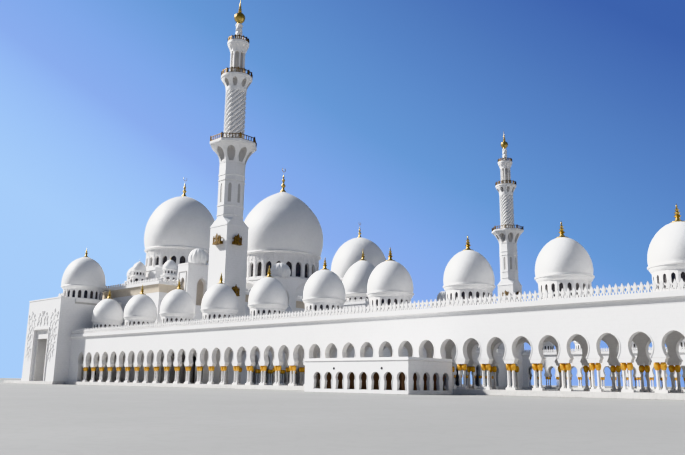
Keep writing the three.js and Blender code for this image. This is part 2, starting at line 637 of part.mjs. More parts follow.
const sideMiddles = evenly(SIDE_ARCH_Y, SIDE_ARCHES, ARCH_PITCH);
const bayEnd = SIDE_ARCH_Y + (OPEN_BAY_ARCHES - 0.5) * ARCH_PITCH;
const wallEnd = PORTAL_FROM_Y - GAP;
const openBay = sideMiddles.slice(0, OPEN_BAY_ARCHES);
mosque.add(piece("left_wall_bay", sideWall(-1, FRONT_Y, bayEnd - GAP, openBay), marble));
mosque.add(piece("left_wall", sideWall(-1, bayEnd, wallEnd, sideMiddles.slice(OPEN_BAY_ARCHES)), marble));
mosque.add(piece("right_wall", sideWall(1, FRONT_Y, wallEnd, sideMiddles), marble));

mosque.add(piece("front_floor", frontFloor(), paleStone));
mosque.add(piece("hall_floor", hallFloor(), paleStone));
mosque.add(piece("front_court_wall", courtEndWall(COURT_FRONT_Y - WALL), marble));
mosque.add(piece("rear_court_wall", courtEndWall(COURT_REAR_Y), marble));
mosque.add(piece("front_roof", frontRoof(), marble));
mosque.add(piece("rear_roof", rearRoof(), marble));
mosque.add(portal("front_portal", 0, (FRONT_Y + COURT_FRONT_Y) / 2, 0, WALL));
mosque.add(portal("left_portal", -ROW_X, HALL_Y, -Math.PI / 2, 0));
mosque.add(portal("right_portal", ROW_X, HALL_Y, Math.PI / 2, 0));

mosque.add(piece("hall_front_wall", hallFrontWall(), marble));
mosque.add(piece("hall_back_wall", hallBackWall(), marble));
mosque.add(piece("hall_roof", hallRoof(-ROOF_SPLIT_X, ROOF_SPLIT_X), marble));
mosque.add(piece("entrance_block", entranceBlock(), marble));
mosque.add(piece("centre_dome_base", squareBase(), marble));
mosque.add(piece("centre_drum", drum(CENTRE, 1), marble));
mosque.add(piece("centre_dome", domeShell(CENTRE, CENTRE_INSIDE, CENTRE_OUTSIDE, 1), marble));
mosque.add(piece("centre_dome_finial", finial(CENTRE_FINIAL, 0, HALL_Y), gilding));

for (const [end, y] of [["front", MINARET_Y[0]], ["rear", MINARET_Y[1]]]) {
  for (const [name, side] of SIDES) {
    mosque.add(minaret(end + "_" + name + "_minaret", side * MINARET_X, y));
  }
}

export default mosque;
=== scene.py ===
"""Looks of a domed mosque with a courtyard, a 1:10 scale model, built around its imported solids.

Every size in this file is the real building's, in metres: x from the plane that the building mirrors
about, y from the kerb line before the front portal, z from the ground. A finished mesh is brought to the
model's scale and place in one step.
"""
import logging
import math
from dataclasses import dataclass, field, replace
from enum import Enum
from typing import Iterable, Sequence

import bmesh
import bpy
from mathutils import Matrix, Vector


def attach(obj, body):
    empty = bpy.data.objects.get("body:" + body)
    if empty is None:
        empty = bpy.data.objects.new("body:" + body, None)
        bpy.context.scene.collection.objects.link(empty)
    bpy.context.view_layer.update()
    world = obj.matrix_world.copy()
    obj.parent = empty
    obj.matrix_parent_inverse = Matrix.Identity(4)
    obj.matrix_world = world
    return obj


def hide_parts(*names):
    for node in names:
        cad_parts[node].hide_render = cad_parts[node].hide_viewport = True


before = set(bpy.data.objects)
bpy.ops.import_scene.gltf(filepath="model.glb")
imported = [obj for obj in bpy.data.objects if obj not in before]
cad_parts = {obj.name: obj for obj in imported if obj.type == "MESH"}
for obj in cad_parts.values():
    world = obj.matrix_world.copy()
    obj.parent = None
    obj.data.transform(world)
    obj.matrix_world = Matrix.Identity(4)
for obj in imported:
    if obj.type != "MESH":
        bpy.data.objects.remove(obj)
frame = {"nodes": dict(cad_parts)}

LOG = logging.getLogger("mosque")
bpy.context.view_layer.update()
SCALE = 0.1
MIDDLE_Y = 118.1
BODY = "root"
SHARP_ANGLE = math.radians(34)
WELD = 0.002

Point = tuple[float, float, float]
Outline = list[tuple[float, float]]


class Side(Enum):
    """The two halves of the building."""

    LEFT = -1
    RIGHT = 1

    @property
    def word(self) -> str:
        """The side's name as the solids use it."""
        return self.name.lower()


class Facing(Enum):
    """Which way an outer face looks, as the turn that brings a face looking along -Y there."""

    FRONT = 0.0
    RIGHT = math.pi / 2
    BACK = math.pi
    LEFT = -math.pi / 2

    @property
    def sign(self) -> int:
        """-1 for a face at the low end of its axis, 1 for one at the high end."""
        return 1 if self in (Facing.RIGHT, Facing.BACK) else -1

    @property
    def across(self) -> bool:
        """Whether the face runs along x, so that its place is a y."""
        return self in (Facing.FRONT, Facing.BACK)


class Repeat(Enum):
    """How copies of a thing are laid out."""

    ROW = "row"
    RING = "ring"
    PLACES = "places"


def outward(side: Side) -> Facing:
    """The way the outer face of a side looks."""
    return Facing.LEFT if side is Side.LEFT else Facing.RIGHT


def inward(side: Side) -> Facing:
    """The way the courtyard face of a side looks."""
    return Facing.RIGHT if side is Side.LEFT else Facing.LEFT


def smooth_outline(points: Sequence[tuple[float, float]], steps: int) -> Outline:
    """A smooth curve through a few points.

    Args:
        points: The points that the curve passes, in order.
        steps: Points made for each stretch between two of them.

    Returns:
        The points of the curve, with both ends.
    """
    ends = [points[0], *points, points[-1]]
    curve: Outline = []
    for a, b, c, d in zip(ends, ends[1:], ends[2:], ends[3:]):
        for i in range(steps):
            t = i / steps
            curve.append(tuple(
                0.5 * (2 * b[k] + (c[k] - a[k]) * t + (2 * a[k] - 5 * b[k] + 4 * c[k] - d[k]) * t * t
                       + (3 * b[k] - a[k] - 3 * c[k] + d[k]) * t ** 3)
                for k in (0, 1)))
    return [*curve, tuple(points[-1])]


@dataclass(frozen=True)
class ArchForm:
    """A pointed arch, which may draw in at its neck like a horseshoe."""

    foot: float
    neck: float
    neck_half: float
    wide: float
    wide_half: float
    top: float
    foot_half: float = 0.0
    steps: int = 7
    point: float = 0.35

    def half(self) -> Outline:
        """The right half as (distance from the middle, height), from the foot up to the top.

        Returns:
            Points of (along, height).
        """
        curve: Outline = [(self.foot_half or self.neck_half, self.foot)]
        draw_in = math.acos(min(1.0, self.neck_half / self.wide_half))
        if draw_in > 0.01:
            drop = (self.wide - self.neck) / math.sin(draw_in)
            for i in range(self.steps // 2 + 1):
                angle = draw_in * (1 - i / (self.steps // 2 + 1))
                curve.append((self.wide_half * math.cos(angle), self.wide - drop * math.sin(angle)))
        rise = self.top - self.wide
        for i in range(self.steps + 1):
            angle = i / self.steps * math.pi / 2
            up = (1 - self.point) * math.sin(angle) + self.point * i / self.steps
            curve.append((self.wide_half * math.cos(angle) if i < self.steps else 0.0, self.wide + rise * up))
        return curve

    def whole(self, grow: float = 0.0) -> Outline:
        """The outline from the left foot over the top to the right foot.

        Args:
            grow: How far the outline is moved out from the opening.

        Returns:
            Points of (along, height).
        """
        right = []
        for along, height in self.half():
            away = Vector((along, max(0.0, height - self.wide)))
            shift = away.normalized() * grow if away.length > 0 else Vector((grow, 0))
            right.append((along + shift.x if along > 0 else 0.0, height + shift.y))
        left = [(-along, height) for along, height in right[:-1]]
        return left + right[::-1]

    def rim(self, width: float, y0: float, y1: float) -> "Form":
        """The raised frame round the opening."""
        return Form().strip(self.whole(), self.whole(width), y0, y1)


def plain_arch(foot: float, spring: float, half: float, top: float, steps: int = 5,
               point: float = 0.35) -> ArchForm:
    """A pointed arch on straight jambs."""
    return ArchForm(foot, spring, half, spring, half, top, steps=steps, point=point)


def pierced(arch: ArchForm, ends: Sequence[float], low: float, top: float,
            middles: Sequence[float] = (0.0,)) -> Outline:
    """The outline of a wall that arches are cut into from below.

    Args:
        arch: The arches' shape.
        ends: The wall's two ends.
        low: The height of the wall's underside.
        top: The height of its top.
        middles: The arches' middles, in order.

    Returns:
        Points of (along, height).
    """
    notches = [(middle + x, z) for middle in middles for x, z in arch.whole()]
    return [(ends[0], low), *notches, (ends[1], low), (ends[1], top), (ends[0], top)]


def doorway(half: float, foot: float, head: float) -> Outline:
    """The line up one jamb, along the lintel and down the other jamb."""
    return [(-half, foot), (-half, head), (half, head), (half, foot)]


@dataclass(frozen=True)
class Ribs:
    """Ribs or waves round a turned body, as a factor on its radius."""

    least: float
    depth: float
    turns: float
    slant: float = 0.0
    sharp: bool = True

    def __call__(self, angle: float, height: float) -> float:
        """The factor at an angle and a height."""
        wave = math.cos(self.turns * angle - self.slant * height)
        return self.least + self.depth * (abs(wave) if self.sharp else wave)


class Form:
    """A mesh in the making, in real metres."""

    def __init__(self) -> None:
        """Starts empty."""
        self.points: list[Point] = []
        self.faces: list[tuple[int, ...]] = []

    def add(self, points: Iterable[Point], faces: Iterable[Sequence[int]]) -> "Form":
        """Adds points, and faces that count from the first of them.

        Args:
            points: The new points.
            faces: Each face's corners.

        Returns:
            This form.
        """
        first = len(self.points)
        self.points.extend(points)
        self.faces.extend(tuple(first + i for i in face) for face in faces)
        return self

    def join(self, other: "Form", at: Point) -> "Form":
        """Adds another form, moved."""
        return self.add([tuple(a + b for a, b in zip(p, at)) for p in other.points], other.faces)

    def block(self, x0: float, x1: float, y0: float, y1: float, z0: float, z1: float) -> "Form":
        """Adds a box between two corners, given in any order."""
        corners = [(x, y, z) for z in (z0, z1) for y in (y0, y1) for x in (x0, x1)]
        return self.add(corners, [(0, 2, 3, 1), (4, 5, 7, 6), (0, 1, 5, 4), (2, 6, 7, 3), (0, 4, 6, 2), (1, 3, 7, 5)])

    def lathe(self, profile: Sequence[tuple[float, float]], sides: int, turn: float = 0.0,
              ribs: Ribs | None = None) -> "Form":
        """Adds a profile turned about the Z axis.

        Args:
            profile: Points of (radius, height). A radius of 0 closes the form with a tip.
            sides: How many sides it has.
            turn: Angle of the first corner.
            ribs: What swells the radius, if anything.

        Returns:
            This form.
        """
        points: list[Point] = []
        rings: list[list[int]] = []
        for radius, height in profile:
            if radius == 0:
                rings.append([len(points)] * sides)
                points.append((0, 0, height))
                continue
            rings.append(list(range(len(points), len(points) + sides)))
            for i in range(sides):
                angle = turn + i / sides * 2 * math.pi
                r = radius * (ribs(angle, height) if ribs else 1)
                points.append((r * math.cos(angle), r * math.sin(angle), height))
        faces = [tuple(dict.fromkeys((low[i - 1], low[i], high[i], high[i - 1])))
                 for low, high in zip(rings, rings[1:]) for i in range(sides)]
        return self.add(points, [face for face in faces if len(face) > 2])

    def prism(self, outline: Outline, y0: float, y1: float, open_at: float | None = None) -> "Form":
        """Adds an outline of (x, z) run from y0 to y1.

        Args:
            outline: The corners in order.
            y0: The front face's place.
            y1: The back face's place.
            open_at: Faces along both x = open_at and x = -open_at are left out, where copies meet.

        Returns:
            This form.
        """
        kept = [i for i, (a, b) in enumerate(zip(outline, [*outline[1:], outline[0]]))
                if open_at is None or min(abs(a[0]), abs(b[0])) <= open_at - WELD or a[0] * b[0] <= 0]
        return self.skin([[(x, y, z) for x, z in outline] for y in (y0, y1)], kept)

    def strip(self, inner: Outline, outer: Outline, y0: float, y1: float) -> "Form":
        """Adds the band between two outlines of as many points, from y0 to y1."""
        return self.skin([[(a[0], y0, a[1]), (b[0], y0, b[1]), (b[0], y1, b[1]), (a[0], y1, a[1])]
                          for a, b in zip(inner, outer)])

    def run(self, section: Outline, length: float, mitres: tuple[int, int] = (0, 0)) -> "Form":
        """Adds a section of (out, height) run along x, with out pointing to -Y.

        Args:
            section: The corners in order.
            length: From the middle, half to each side.
            mitres: 1 where an end is cut for an outer corner, -1 for an inner one, else 0.

        Returns:
            This form.
        """
        return self.skin([[(sign * (length / 2 + mitre * out), -out, z) for out, z in section]
                          for sign, mitre in zip((-1, 1), mitres)])

    def tube(self, path: Sequence[Point], radius: float, sides: int = 6) -> "Form":
        """Adds a closed round bar along a path.

        Args:
            path: Points along its middle.
            radius: Its radius.
            sides: How many sides it has.

        Returns:
            This form.
        """
        rings = []
        for i, p in enumerate(path):
            ahead = Vector(path[min(i + 1, len(path) - 1)]) - Vector(path[max(i - 1, 0)])
            across = ahead.orthogonal() if abs(ahead.normalized().z) > 0.95 else ahead.cross(Vector((0, 0, 1)))
            across.normalize()
            other = ahead.cross(across).normalized()
            angles = (k / sides * 2 * math.pi for k in range(sides))
            rings.append([tuple(Vector(p) + radius * (math.cos(a) * across + math.sin(a) * other)) for a in angles])
        return self.skin(rings)

    def skin(self, rings: Sequence[Sequence[Point]], kept: Iterable[int] | None = None) -> "Form":
        """Adds a closed body through rings of points, with a flat face at both ends.

        Args:
            rings: Rings of as many points each.
            kept: Which of the faces between two rings are made, if not all.

        Returns:
            This form.
        """
        n = len(rings[0])
        last = (len(rings) - 1) * n
        around = range(n) if kept is None else kept
        faces: list[tuple[int, ...]] = [tuple(range(n - 1, -1, -1)), tuple(range(last, last + n))]
        for low in range(0, last, n):
            faces += [(low + i, low + (i + 1) % n, low + n + (i + 1) % n, low + n + i) for i in around]
        return self.add([point for ring in rings for point in ring], faces)

    def mesh(self, name: str) -> bpy.types.Mesh:
        """The form as a clean mesh whose faces point out.

        Args:
            name: The mesh's name.

        Returns:
            The mesh.
        """
        mesh = bpy.data.meshes.new(name)
        mesh.from_pydata(self.points, [], self.faces)
        return cleaned(mesh)


def cleaned(mesh: bpy.types.Mesh) -> bpy.types.Mesh:
    """Welds a mesh, turns its faces outwards and shades it smooth up to its sharp edges.

    Args:
        mesh: The mesh, changed in place.

    Returns:
        The same mesh.
    """
    work = bmesh.new()
    work.from_mesh(mesh)
    bmesh.ops.remove_doubles(work, verts=work.verts, dist=WELD)
    bmesh.ops.recalc_face_normals(work, faces=work.faces)
    work.to_mesh(mesh)
    work.free()
    for polygon in mesh.polygons:
        polygon.use_smooth = True
    mesh.set_sharp_from_angle(angle=SHARP_ANGLE)
    return mesh


class Socket:
    """A shader socket that Python's operators turn into Math nodes."""

    def __init__(self, tree: bpy.types.NodeTree, link: bpy.types.NodeSocket) -> None:
        """Wraps an output socket of a tree."""
        self.tree = tree
        self.link = link

    def math(self, operation: str, *others: "Socket | float", clamp: bool = False) -> "Socket":
        """A Math node on this socket and others."""
        return compute(self.tree, operation, [self, *others], clamp)

    def __add__(self, other: "Socket | float") -> "Socket":
        """Sum."""
        return self.math("ADD", other)

    def __mul__(self, other: "Socket | float") -> "Socket":
        """Product."""
        return self.math("MULTIPLY", other)

    def __sub__(self, other: "Socket | float") -> "Socket":
        """Difference."""
        return self.math("SUBTRACT", other)

    def __rsub__(self, other: float) -> "Socket":
        """Difference from a number."""
        return compute(self.tree, "SUBTRACT", [other, self])

    def __truediv__(self, other: "Socket | float") -> "Socket":
        """Quotient."""
        return self.math("DIVIDE", other)

    def clamped(self) -> "Socket":
        """This value kept from 0 to 1."""
        return self.math("ADD", 0.0, clamp=True)

    def ramped(self, low: float, high: float) -> "Socket":
        """0 at low and below, 1 at high and above."""
        return ((self - low) / (high - low)).clamped()


def compute(tree: bpy.types.NodeTree, operation: str, values: Sequence["Socket | float"],
            clamp: bool = False) -> Socket:
    """A Math node.

    Args:
        tree: The shader's tree.
        operation: The node's operation.
        values: Its inputs, as sockets or numbers.
        clamp: Whether the result is kept from 0 to 1.

    Returns:
        Its output.
    """
    node = tree.nodes.new("ShaderNodeMath")
    node.operation = operation
    node.use_clamp = clamp
    for slot, value in zip(node.inputs, values):
        if isinstance(value, Socket):
            tree.links.new(value.link, slot)
        else:
            slot.default_value = value
    return Socket(tree, node.outputs[0])


class Shader:
    """One material in the making."""

    def __init__(self, name: str) -> None:
        """Starts a material with its own shader node.

        Args:
            name: The material's name.
        """
        self.material = bpy.data.materials.new(name)
        self.material.use_nodes = True
        self.tree = self.material.node_tree
        self.surface = self.tree.nodes["Principled BSDF"]
        self.place = Socket(self.tree, self.node("TexCoord").outputs["Object"])
        split = self.node("SeparateXYZ", Vector=self.place)
        self.x, self.y, self.z = (Socket(self.tree, split.outputs[k]) for k in "XYZ")

    def node(self, kind: str, **inputs: object) -> bpy.types.Node:
        """Makes a node.

        Args:
            kind: The node's type, after the words ShaderNode.
            inputs: Values or sockets by input name, with _ for a space.

        Returns:
            The node.
        """
        node = self.tree.nodes.new(f"ShaderNode{kind}")
        for key, value in inputs.items():
            slot = node.inputs[key.replace("_", " ")]
            if isinstance(value, Socket):
                self.tree.links.new(value.link, slot)
            else:
                slot.default_value = value
        return node

    def noise(self, scale: float, detail: float) -> Socket:
        """Soft noise from 0 to 1 at so many waves for each model metre."""
        return Socket(self.tree, self.node("TexNoise", Vector=self.place, Scale=scale, Detail=detail).outputs["Fac"])

    def blend(self, factor: Socket, first: "Socket | tuple", second: "Socket | tuple") -> Socket:
        """A mix of two colours.

        Args:
            factor: 0 for the first colour, 1 for the second.
            first: A colour.
            second: The other colour.

        Returns:
            The mixed colour.
        """
        node = self.node("Mix")
        node.data_type = "RGBA"
        for slot, value in zip((node.inputs[0], node.inputs[6], node.inputs[7]), (factor, first, second)):
            if isinstance(value, Socket):
                self.tree.links.new(value.link, slot)
            else:
                slot.default_value = (*value, 1.0)
        return Socket(self.tree, node.outputs[2])

    def vector(self, x: Socket, y: Socket) -> Socket:
        """A flat coordinate."""
        return Socket(self.tree, self.node("CombineXYZ", X=x, Y=y).outputs[0])

    def feed(self, name: str, value: Socket) -> None:
        """Links a varying value to the shader."""
        self.tree.links.new(value.link, self.surface.inputs[name])

    def relief(self, height: Socket, distance: float, strength: float) -> None:
        """Feeds the shader's normal from a bump."""
        bump = self.node("Bump", Height=height, Distance=distance, Strength=strength)
        self.tree.links.new(bump.outputs[0], self.surface.inputs["Normal"])


class Pattern(Enum):
    """The joints that a stone finish shows."""

    NONE = "none"
    WALL = "wall"
    FLOOR = "floor"
    COURSES = "courses"


@dataclass(frozen=True)
class StoneFinish:
    """White marble or plaster with faint veins, joints and dust near the ground."""

    name: str
    light: tuple[float, float, float]
    dark: tuple[float, float, float]
    roughness: float
    pattern: Pattern
    block: tuple[float, float] = (0.12, 0.06)
    joint: float = 0.0012
    grain: float = 90.0
    slot: str = "marble"

    def material(self) -> bpy.types.Material:
        """Builds the material.

        Returns:
            The material.
        """
        shader = Shader(self.name)
        cloud = shader.noise(0.9, 4.0)
        vein = shader.noise(7.0, 8.0)
        veins = (1 - (vein - 0.5).math("ABSOLUTE").ramped(0.0, 0.05)) * 0.35
        fine = shader.noise(self.grain, 4.0)
        dust = (1 - shader.z.ramped(0.02, 0.22)) * cloud * 0.8
        tone = (cloud.ramped(0.35, 0.7) * 0.45 + veins + dust).clamped()
        colour = shader.blend(tone, self.light, self.dark)
        height = fine * 0.3
        lines = self._joints(shader)
        if lines is not None:
            colour = shader.blend(lines * 0.3, colour, tuple(0.72 * c for c in self.dark))
            height = height - lines
        shader.feed("Base Color", colour)
        shader.feed("Roughness", fine * 0.16 + (self.roughness - 0.08) + veins * 0.08)
        shader.relief(height, 0.002, 0.35)
        return shader.material

    def _joints(self, shader: Shader) -> Socket | None:
        """1 in the joints between blocks, or nothing on a smooth finish.

        Args:
            shader: The material in the making.

        Returns:
            The lines, if there are any.
        """
        if self.pattern is Pattern.NONE:
            return None
        if self.pattern is Pattern.COURSES:
            phase = (shader.z / self.block[1]).math("FRACT")
            return 1 - phase.ramped(0.0, self.joint / self.block[1] * 2)
        flat = self.pattern is Pattern.FLOOR
        where = shader.vector(shader.x, shader.y) if flat else shader.vector(shader.x + shader.y, shader.z)
        brick = shader.node("TexBrick", Vector=where, Scale=1.0, Mortar_Size=self.joint, Mortar_Smooth=0.2,
                            Brick_Width=self.block[0], Row_Height=self.block[1])
        return Socket(shader.tree, brick.outputs["Fac"])


@dataclass(frozen=True)
class MetalFinish:
    """Gold leaf or bronze, with uneven gloss and darker patches at random."""

    name: str
    bright: tuple[float, float, float]
    dull: tuple[float, float, float]
    roughness: float
    metallic: float
    slot: str = "gilding"

    def material(self) -> bpy.types.Material:
        """Builds the material.

        Returns:
            The material.
        """
        shader = Shader(self.name)
        shader.surface.inputs["Metallic"].default_value = self.metallic
        patches = shader.noise(14.0, 5.0)
        fine = shader.noise(120.0, 3.0)
        shader.feed("Base Color", shader.blend(patches.ramped(0.4, 0.7), self.bright, self.dull))
        shader.feed("Roughness", patches * 0.2 + fine * 0.1 + (self.roughness - 0.12))
        shader.relief(fine + patches, 0.0012, 0.3)
        return shader.material


@dataclass(frozen=True)
class GlassFinish:
    """Dark glazing behind a window, with the faint bars of its leading."""

    name: str
    deep: tuple[float, float, float]
    pale: tuple[float, float, float]
    slot: str = "marble"

    def material(self) -> bpy.types.Material:
        """Builds the material.

        Returns:
            The material.
        """
        shader = Shader(self.name)
        shader.surface.inputs["IOR"].default_value = 1.5
        cloud = shader.noise(6.0, 3.0)
        bars = (shader.z / 0.06).math("FRACT").ramped(0.82, 0.86)
        colour = shader.blend(cloud.ramped(0.3, 0.7), self.deep, self.pale)
        shader.feed("Base Color", shader.blend(bars * 0.4, colour, self.pale))
        shader.feed("Roughness", cloud * 0.2 + 0.12)
        return shader.material


MARBLE = StoneFinish("marble_cladding", (0.90, 0.89, 0.88), (0.82, 0.81, 0.80), 0.46, Pattern.WALL)
PLASTER = StoneFinish("dome_plaster", (0.90, 0.89, 0.875), (0.82, 0.81, 0.795), 0.5, Pattern.COURSES,
                      block=(0.1, 0.11), joint=0.0008)
CARVED = StoneFinish("carved_marble", (0.88, 0.865, 0.85), (0.77, 0.755, 0.74), 0.52, Pattern.NONE)
PAVING = StoneFinish("floor_marble", (0.80, 0.785, 0.76), (0.68, 0.665, 0.64), 0.5, Pattern.FLOOR,
                     block=(0.09, 0.09), slot="pale_stone")
# Brownish grey that is painted shade on the backs of the roof towers' deep niches.
DEEP_SHADE = StoneFinish("cream_stone", (0.52, 0.46, 0.39), (0.42, 0.36, 0.30), 0.6, Pattern.NONE)
# Warm cream darkened as painted shade in the cove under the eaves.
COVE_SHADE = StoneFinish("cove_stone", (0.72, 0.64, 0.53), (0.62, 0.54, 0.43), 0.6, Pattern.NONE)
# Darker grey that is painted shade: niche backs, rib grooves, slit backs, the lantern's core, frame lines and the gap
# under the portal's cornice.
SHADE_STONE = StoneFinish("niche_stone", (0.56, 0.54, 0.52), (0.47, 0.455, 0.44), 0.6, Pattern.NONE)
# Dark brown that is painted shade of the low wings' interiors, on the screens behind their arches.
INTERIOR_SHADE = StoneFinish("door_timber", (0.17, 0.11, 0.075), (0.10, 0.065, 0.045), 0.5, Pattern.NONE, slot="gilding")
GOLD = MetalFinish("gold_leaf", (0.95, 0.56, 0.13), (0.78, 0.40, 0.07), 0.36, 0.7)
FINIAL = MetalFinish("finial_gold", (0.62, 0.46, 0.18), (0.34, 0.24, 0.09), 0.34, 1.0)
BRONZE = MetalFinish("gilded_bronze", (0.33, 0.215, 0.09), (0.13, 0.085, 0.04), 0.45, 0.8)
GLASS = GlassFinish("window_glass", (0.055, 0.055, 0.065), (0.16, 0.145, 0.135))
STUDIO_FLOOR = StoneFinish("studio_floor", (0.41, 0.405, 0.395), (0.38, 0.375, 0.365), 0.75, Pattern.NONE, grain=3.0)
FINISHES = (MARBLE, PLASTER, CARVED, PAVING, DEEP_SHADE, COVE_SHADE, SHADE_STONE, INTERIOR_SHADE, GOLD, FINIAL, BRONZE, GLASS)
Finish = StoneFinish | MetalFinish | GlassFinish


class Layout:
    """Three Geometry Nodes trees that lay out copies in a row, in a ring or at places."""

    ENTRIES = {
        Repeat.ROW: (("Count", "Int"), ("Start", "Vector"), ("Step", "Vector")),
        Repeat.RING: (("Count", "Int"), ("Radius", "Float"), ("Phase", "Float")),
        Repeat.PLACES: (("Thing", "Object"),),
    }

    def __init__(self) -> None:
        """Builds the trees."""
        self.trees = {kind: self._tree(kind) for kind in Repeat}

    def row(self, thing: Form, material: bpy.types.Material, count: int, start: Point,
            step: Point) -> bpy.types.Mesh:
        """Copies in a straight row."""
        return self._apply(Repeat.ROW, thing.mesh("thing"), Count=count, Start=start, Step=step, Finish=material)

    def ring(self, thing: Form, material: bpy.types.Material, count: int, radius: float,
             phase: float = 0.0) -> bpy.types.Mesh:
        """Copies in a ring, each with its front outwards."""
        return self._apply(Repeat.RING, thing.mesh("thing"), Count=count, Radius=radius, Phase=phase,
                           Finish=material)

    def places(self, thing: bpy.types.Mesh, material: bpy.types.Material, spots: Sequence[Point]) -> bpy.types.Mesh:
        """Copies at given spots.

        Args:
            thing: The mesh that is copied.
            material: Its finish.
            spots: Where the copies stand.

        Returns:
            All the copies as one mesh.
        """
        cloud = bpy.data.meshes.new("spots")
        cloud.from_pydata(list(spots), [], [])
        holder = bpy.data.objects.new("copied", thing)
        result = self._apply(Repeat.PLACES, cloud, Thing=holder, Finish=material)
        bpy.data.objects.remove(holder)
        return result

    def _tree(self, kind: Repeat) -> bpy.types.NodeTree:
        """Builds one tree, with named inputs for all that varies.

        Args:
            kind: How the copies are laid out.

        Returns:
            The tree.
        """
        tree = bpy.data.node_groups.new(f"lay_{kind.value}", "GeometryNodeTree")
        entries = (("Geometry", "Geometry"), *self.ENTRIES[kind], ("Finish", "Material"))
        for name, sort in entries:
            tree.interface.new_socket(name, in_out="INPUT", socket_type=f"NodeSocket{sort}")
        tree.interface.new_socket("Geometry", in_out="OUTPUT", socket_type="NodeSocketGeometry")
        given = tree.nodes.new("NodeGroupInput").outputs
        copies = tree.nodes.new("GeometryNodeInstanceOnPoints")
        link = tree.links.new
        makers = {Repeat.ROW: self._line, Repeat.RING: self._circle, Repeat.PLACES: self._spots}
        for source, target in zip(makers[kind](tree, given), ("Points", "Instance", "Rotation")):
            link(source, copies.inputs[target])
        real = tree.nodes.new("GeometryNodeRealizeInstances")
        dress = tree.nodes.new("GeometryNodeSetMaterial")
        link(copies.outputs[0], real.inputs[0])
        link(real.outputs[0], dress.inputs["Geometry"])
        link(given["Finish"], dress.inputs["Material"])
        link(dress.outputs[0], tree.nodes.new("NodeGroupOutput").inputs[0])
        return tree

    def _line(self, tree: bpy.types.NodeTree, given: object) -> tuple:
        """The points of a row and the copied thing.

        Args:
            tree: The tree in the making.
            given: The tree's inputs.

        Returns:
            Sockets of the points and the thing.
        """
        line = tree.nodes.new("GeometryNodeMeshLine")
        line.mode = "OFFSET"
        for source, target in (("Count", "Count"), ("Start", "Start Location"), ("Step", "Offset")):
            tree.links.new(given[source], line.inputs[target])
        return line.outputs[0], given["Geometry"]

    def _circle(self, tree: bpy.types.NodeTree, given: object) -> tuple:
        """The points of a ring, the copied thing and the turn of each.

        Args:
            tree: The tree in the making.
            given: The tree's inputs.

        Returns:
            Sockets of the points, the thing and the turns.
        """
        count, radius, phase = (Socket(tree, given[name]) for name in ("Count", "Radius", "Phase"))
        index = Socket(tree, tree.nodes.new("GeometryNodeInputIndex").outputs[0])
        angle = index / count * (2 * math.pi) + phase
        out, spin = (tree.nodes.new("ShaderNodeCombineXYZ") for _ in range(2))
        points = tree.nodes.new("GeometryNodePoints")
        turned = tree.nodes.new("FunctionNodeEulerToRotation")
        for source, target in (
                ((angle.math("COSINE") * radius).link, out.inputs["X"]),
                ((angle.math("SINE") * radius).link, out.inputs["Y"]),
                ((angle + math.pi / 2).link, spin.inputs["Z"]), (given["Count"], points.inputs["Count"]),
                (out.outputs[0], points.inputs["Position"]), (spin.outputs[0], turned.inputs[0])):
            tree.links.new(source, target)
        return points.outputs[0], given["Geometry"], turned.outputs[0]

    def _spots(self, tree: bpy.types.NodeTree, given: object) -> tuple:
        """Given points and another object's mesh.

        Args:
            tree: The tree in the making.
            given: The tree's inputs.

        Returns:
            Sockets of the points and the thing.
        """
        info = tree.nodes.new("GeometryNodeObjectInfo")
        tree.links.new(given["Thing"], info.inputs["Object"])
        return given["Geometry"], info.outputs["Geometry"]

    def _apply(self, kind: Repeat, mesh: bpy.types.Mesh, **values: object) -> bpy.types.Mesh:
        """Runs a tree on a mesh and gives back a plain mesh.

        Args:
            kind: Which tree.
            mesh: The mesh that it starts from.
            values: Its inputs by name.

        Returns:
            The result.
        """
        holder = bpy.data.objects.new("layout", mesh)
        bpy.context.scene.collection.objects.link(holder)
        tree = self.trees[kind]
        modifier = holder.modifiers.new("layout", "NODES")
        modifier.node_group = tree
        for entry in tree.interface.items_tree:
            if entry.in_out == "INPUT" and entry.name in values:
                modifier[entry.identifier] = values[entry.name]
        graph = bpy.context.evaluated_depsgraph_get()
        result = bpy.data.meshes.new_from_object(holder.evaluated_get(graph), depsgraph=graph)
        bpy.data.objects.remove(holder)
        return result


@dataclass
class Kit:
    """What every assembly works with: the finishes' materials and the layouts."""

    materials: dict[str, bpy.types.Material]
    layout: Layout

    def of(self, finish: Finish) -> bpy.types.Material:
        """A finish's material."""
        return self.materials[finish.name]


@dataclass(frozen=True)
class Plane:
    """An upright plane of the building, the way it looks and its x or y."""

    facing: Facing
    place: float

    def along(self, place: float) -> float:
        """A coordinate of the plan as the distance along the plane, to the right as it is looked at."""
        return place if self.facing in (Facing.FRONT, Facing.RIGHT) else -place

    def span(self, first: float, second: float) -> list[float]:
        """Two coordinates of the plan as distances along the plane, the left one first."""
        return sorted((self.along(first), self.along(second)))

    def spot(self, along: float, out: float = 0.0) -> Point:
        """The place on the ground of a point given along the plane and out of it.

        Args:
            along: Distance to the right.
            out: Distance outwards.

        Returns:
            The place.
        """
        centre = (0, self.place, 0) if self.facing.across else (self.place, 0, 0)
        turned = Matrix.Rotation(self.facing.value, 4, "Z") @ Vector((along, -out, 0))
        return tuple(Vector(centre) + turned)


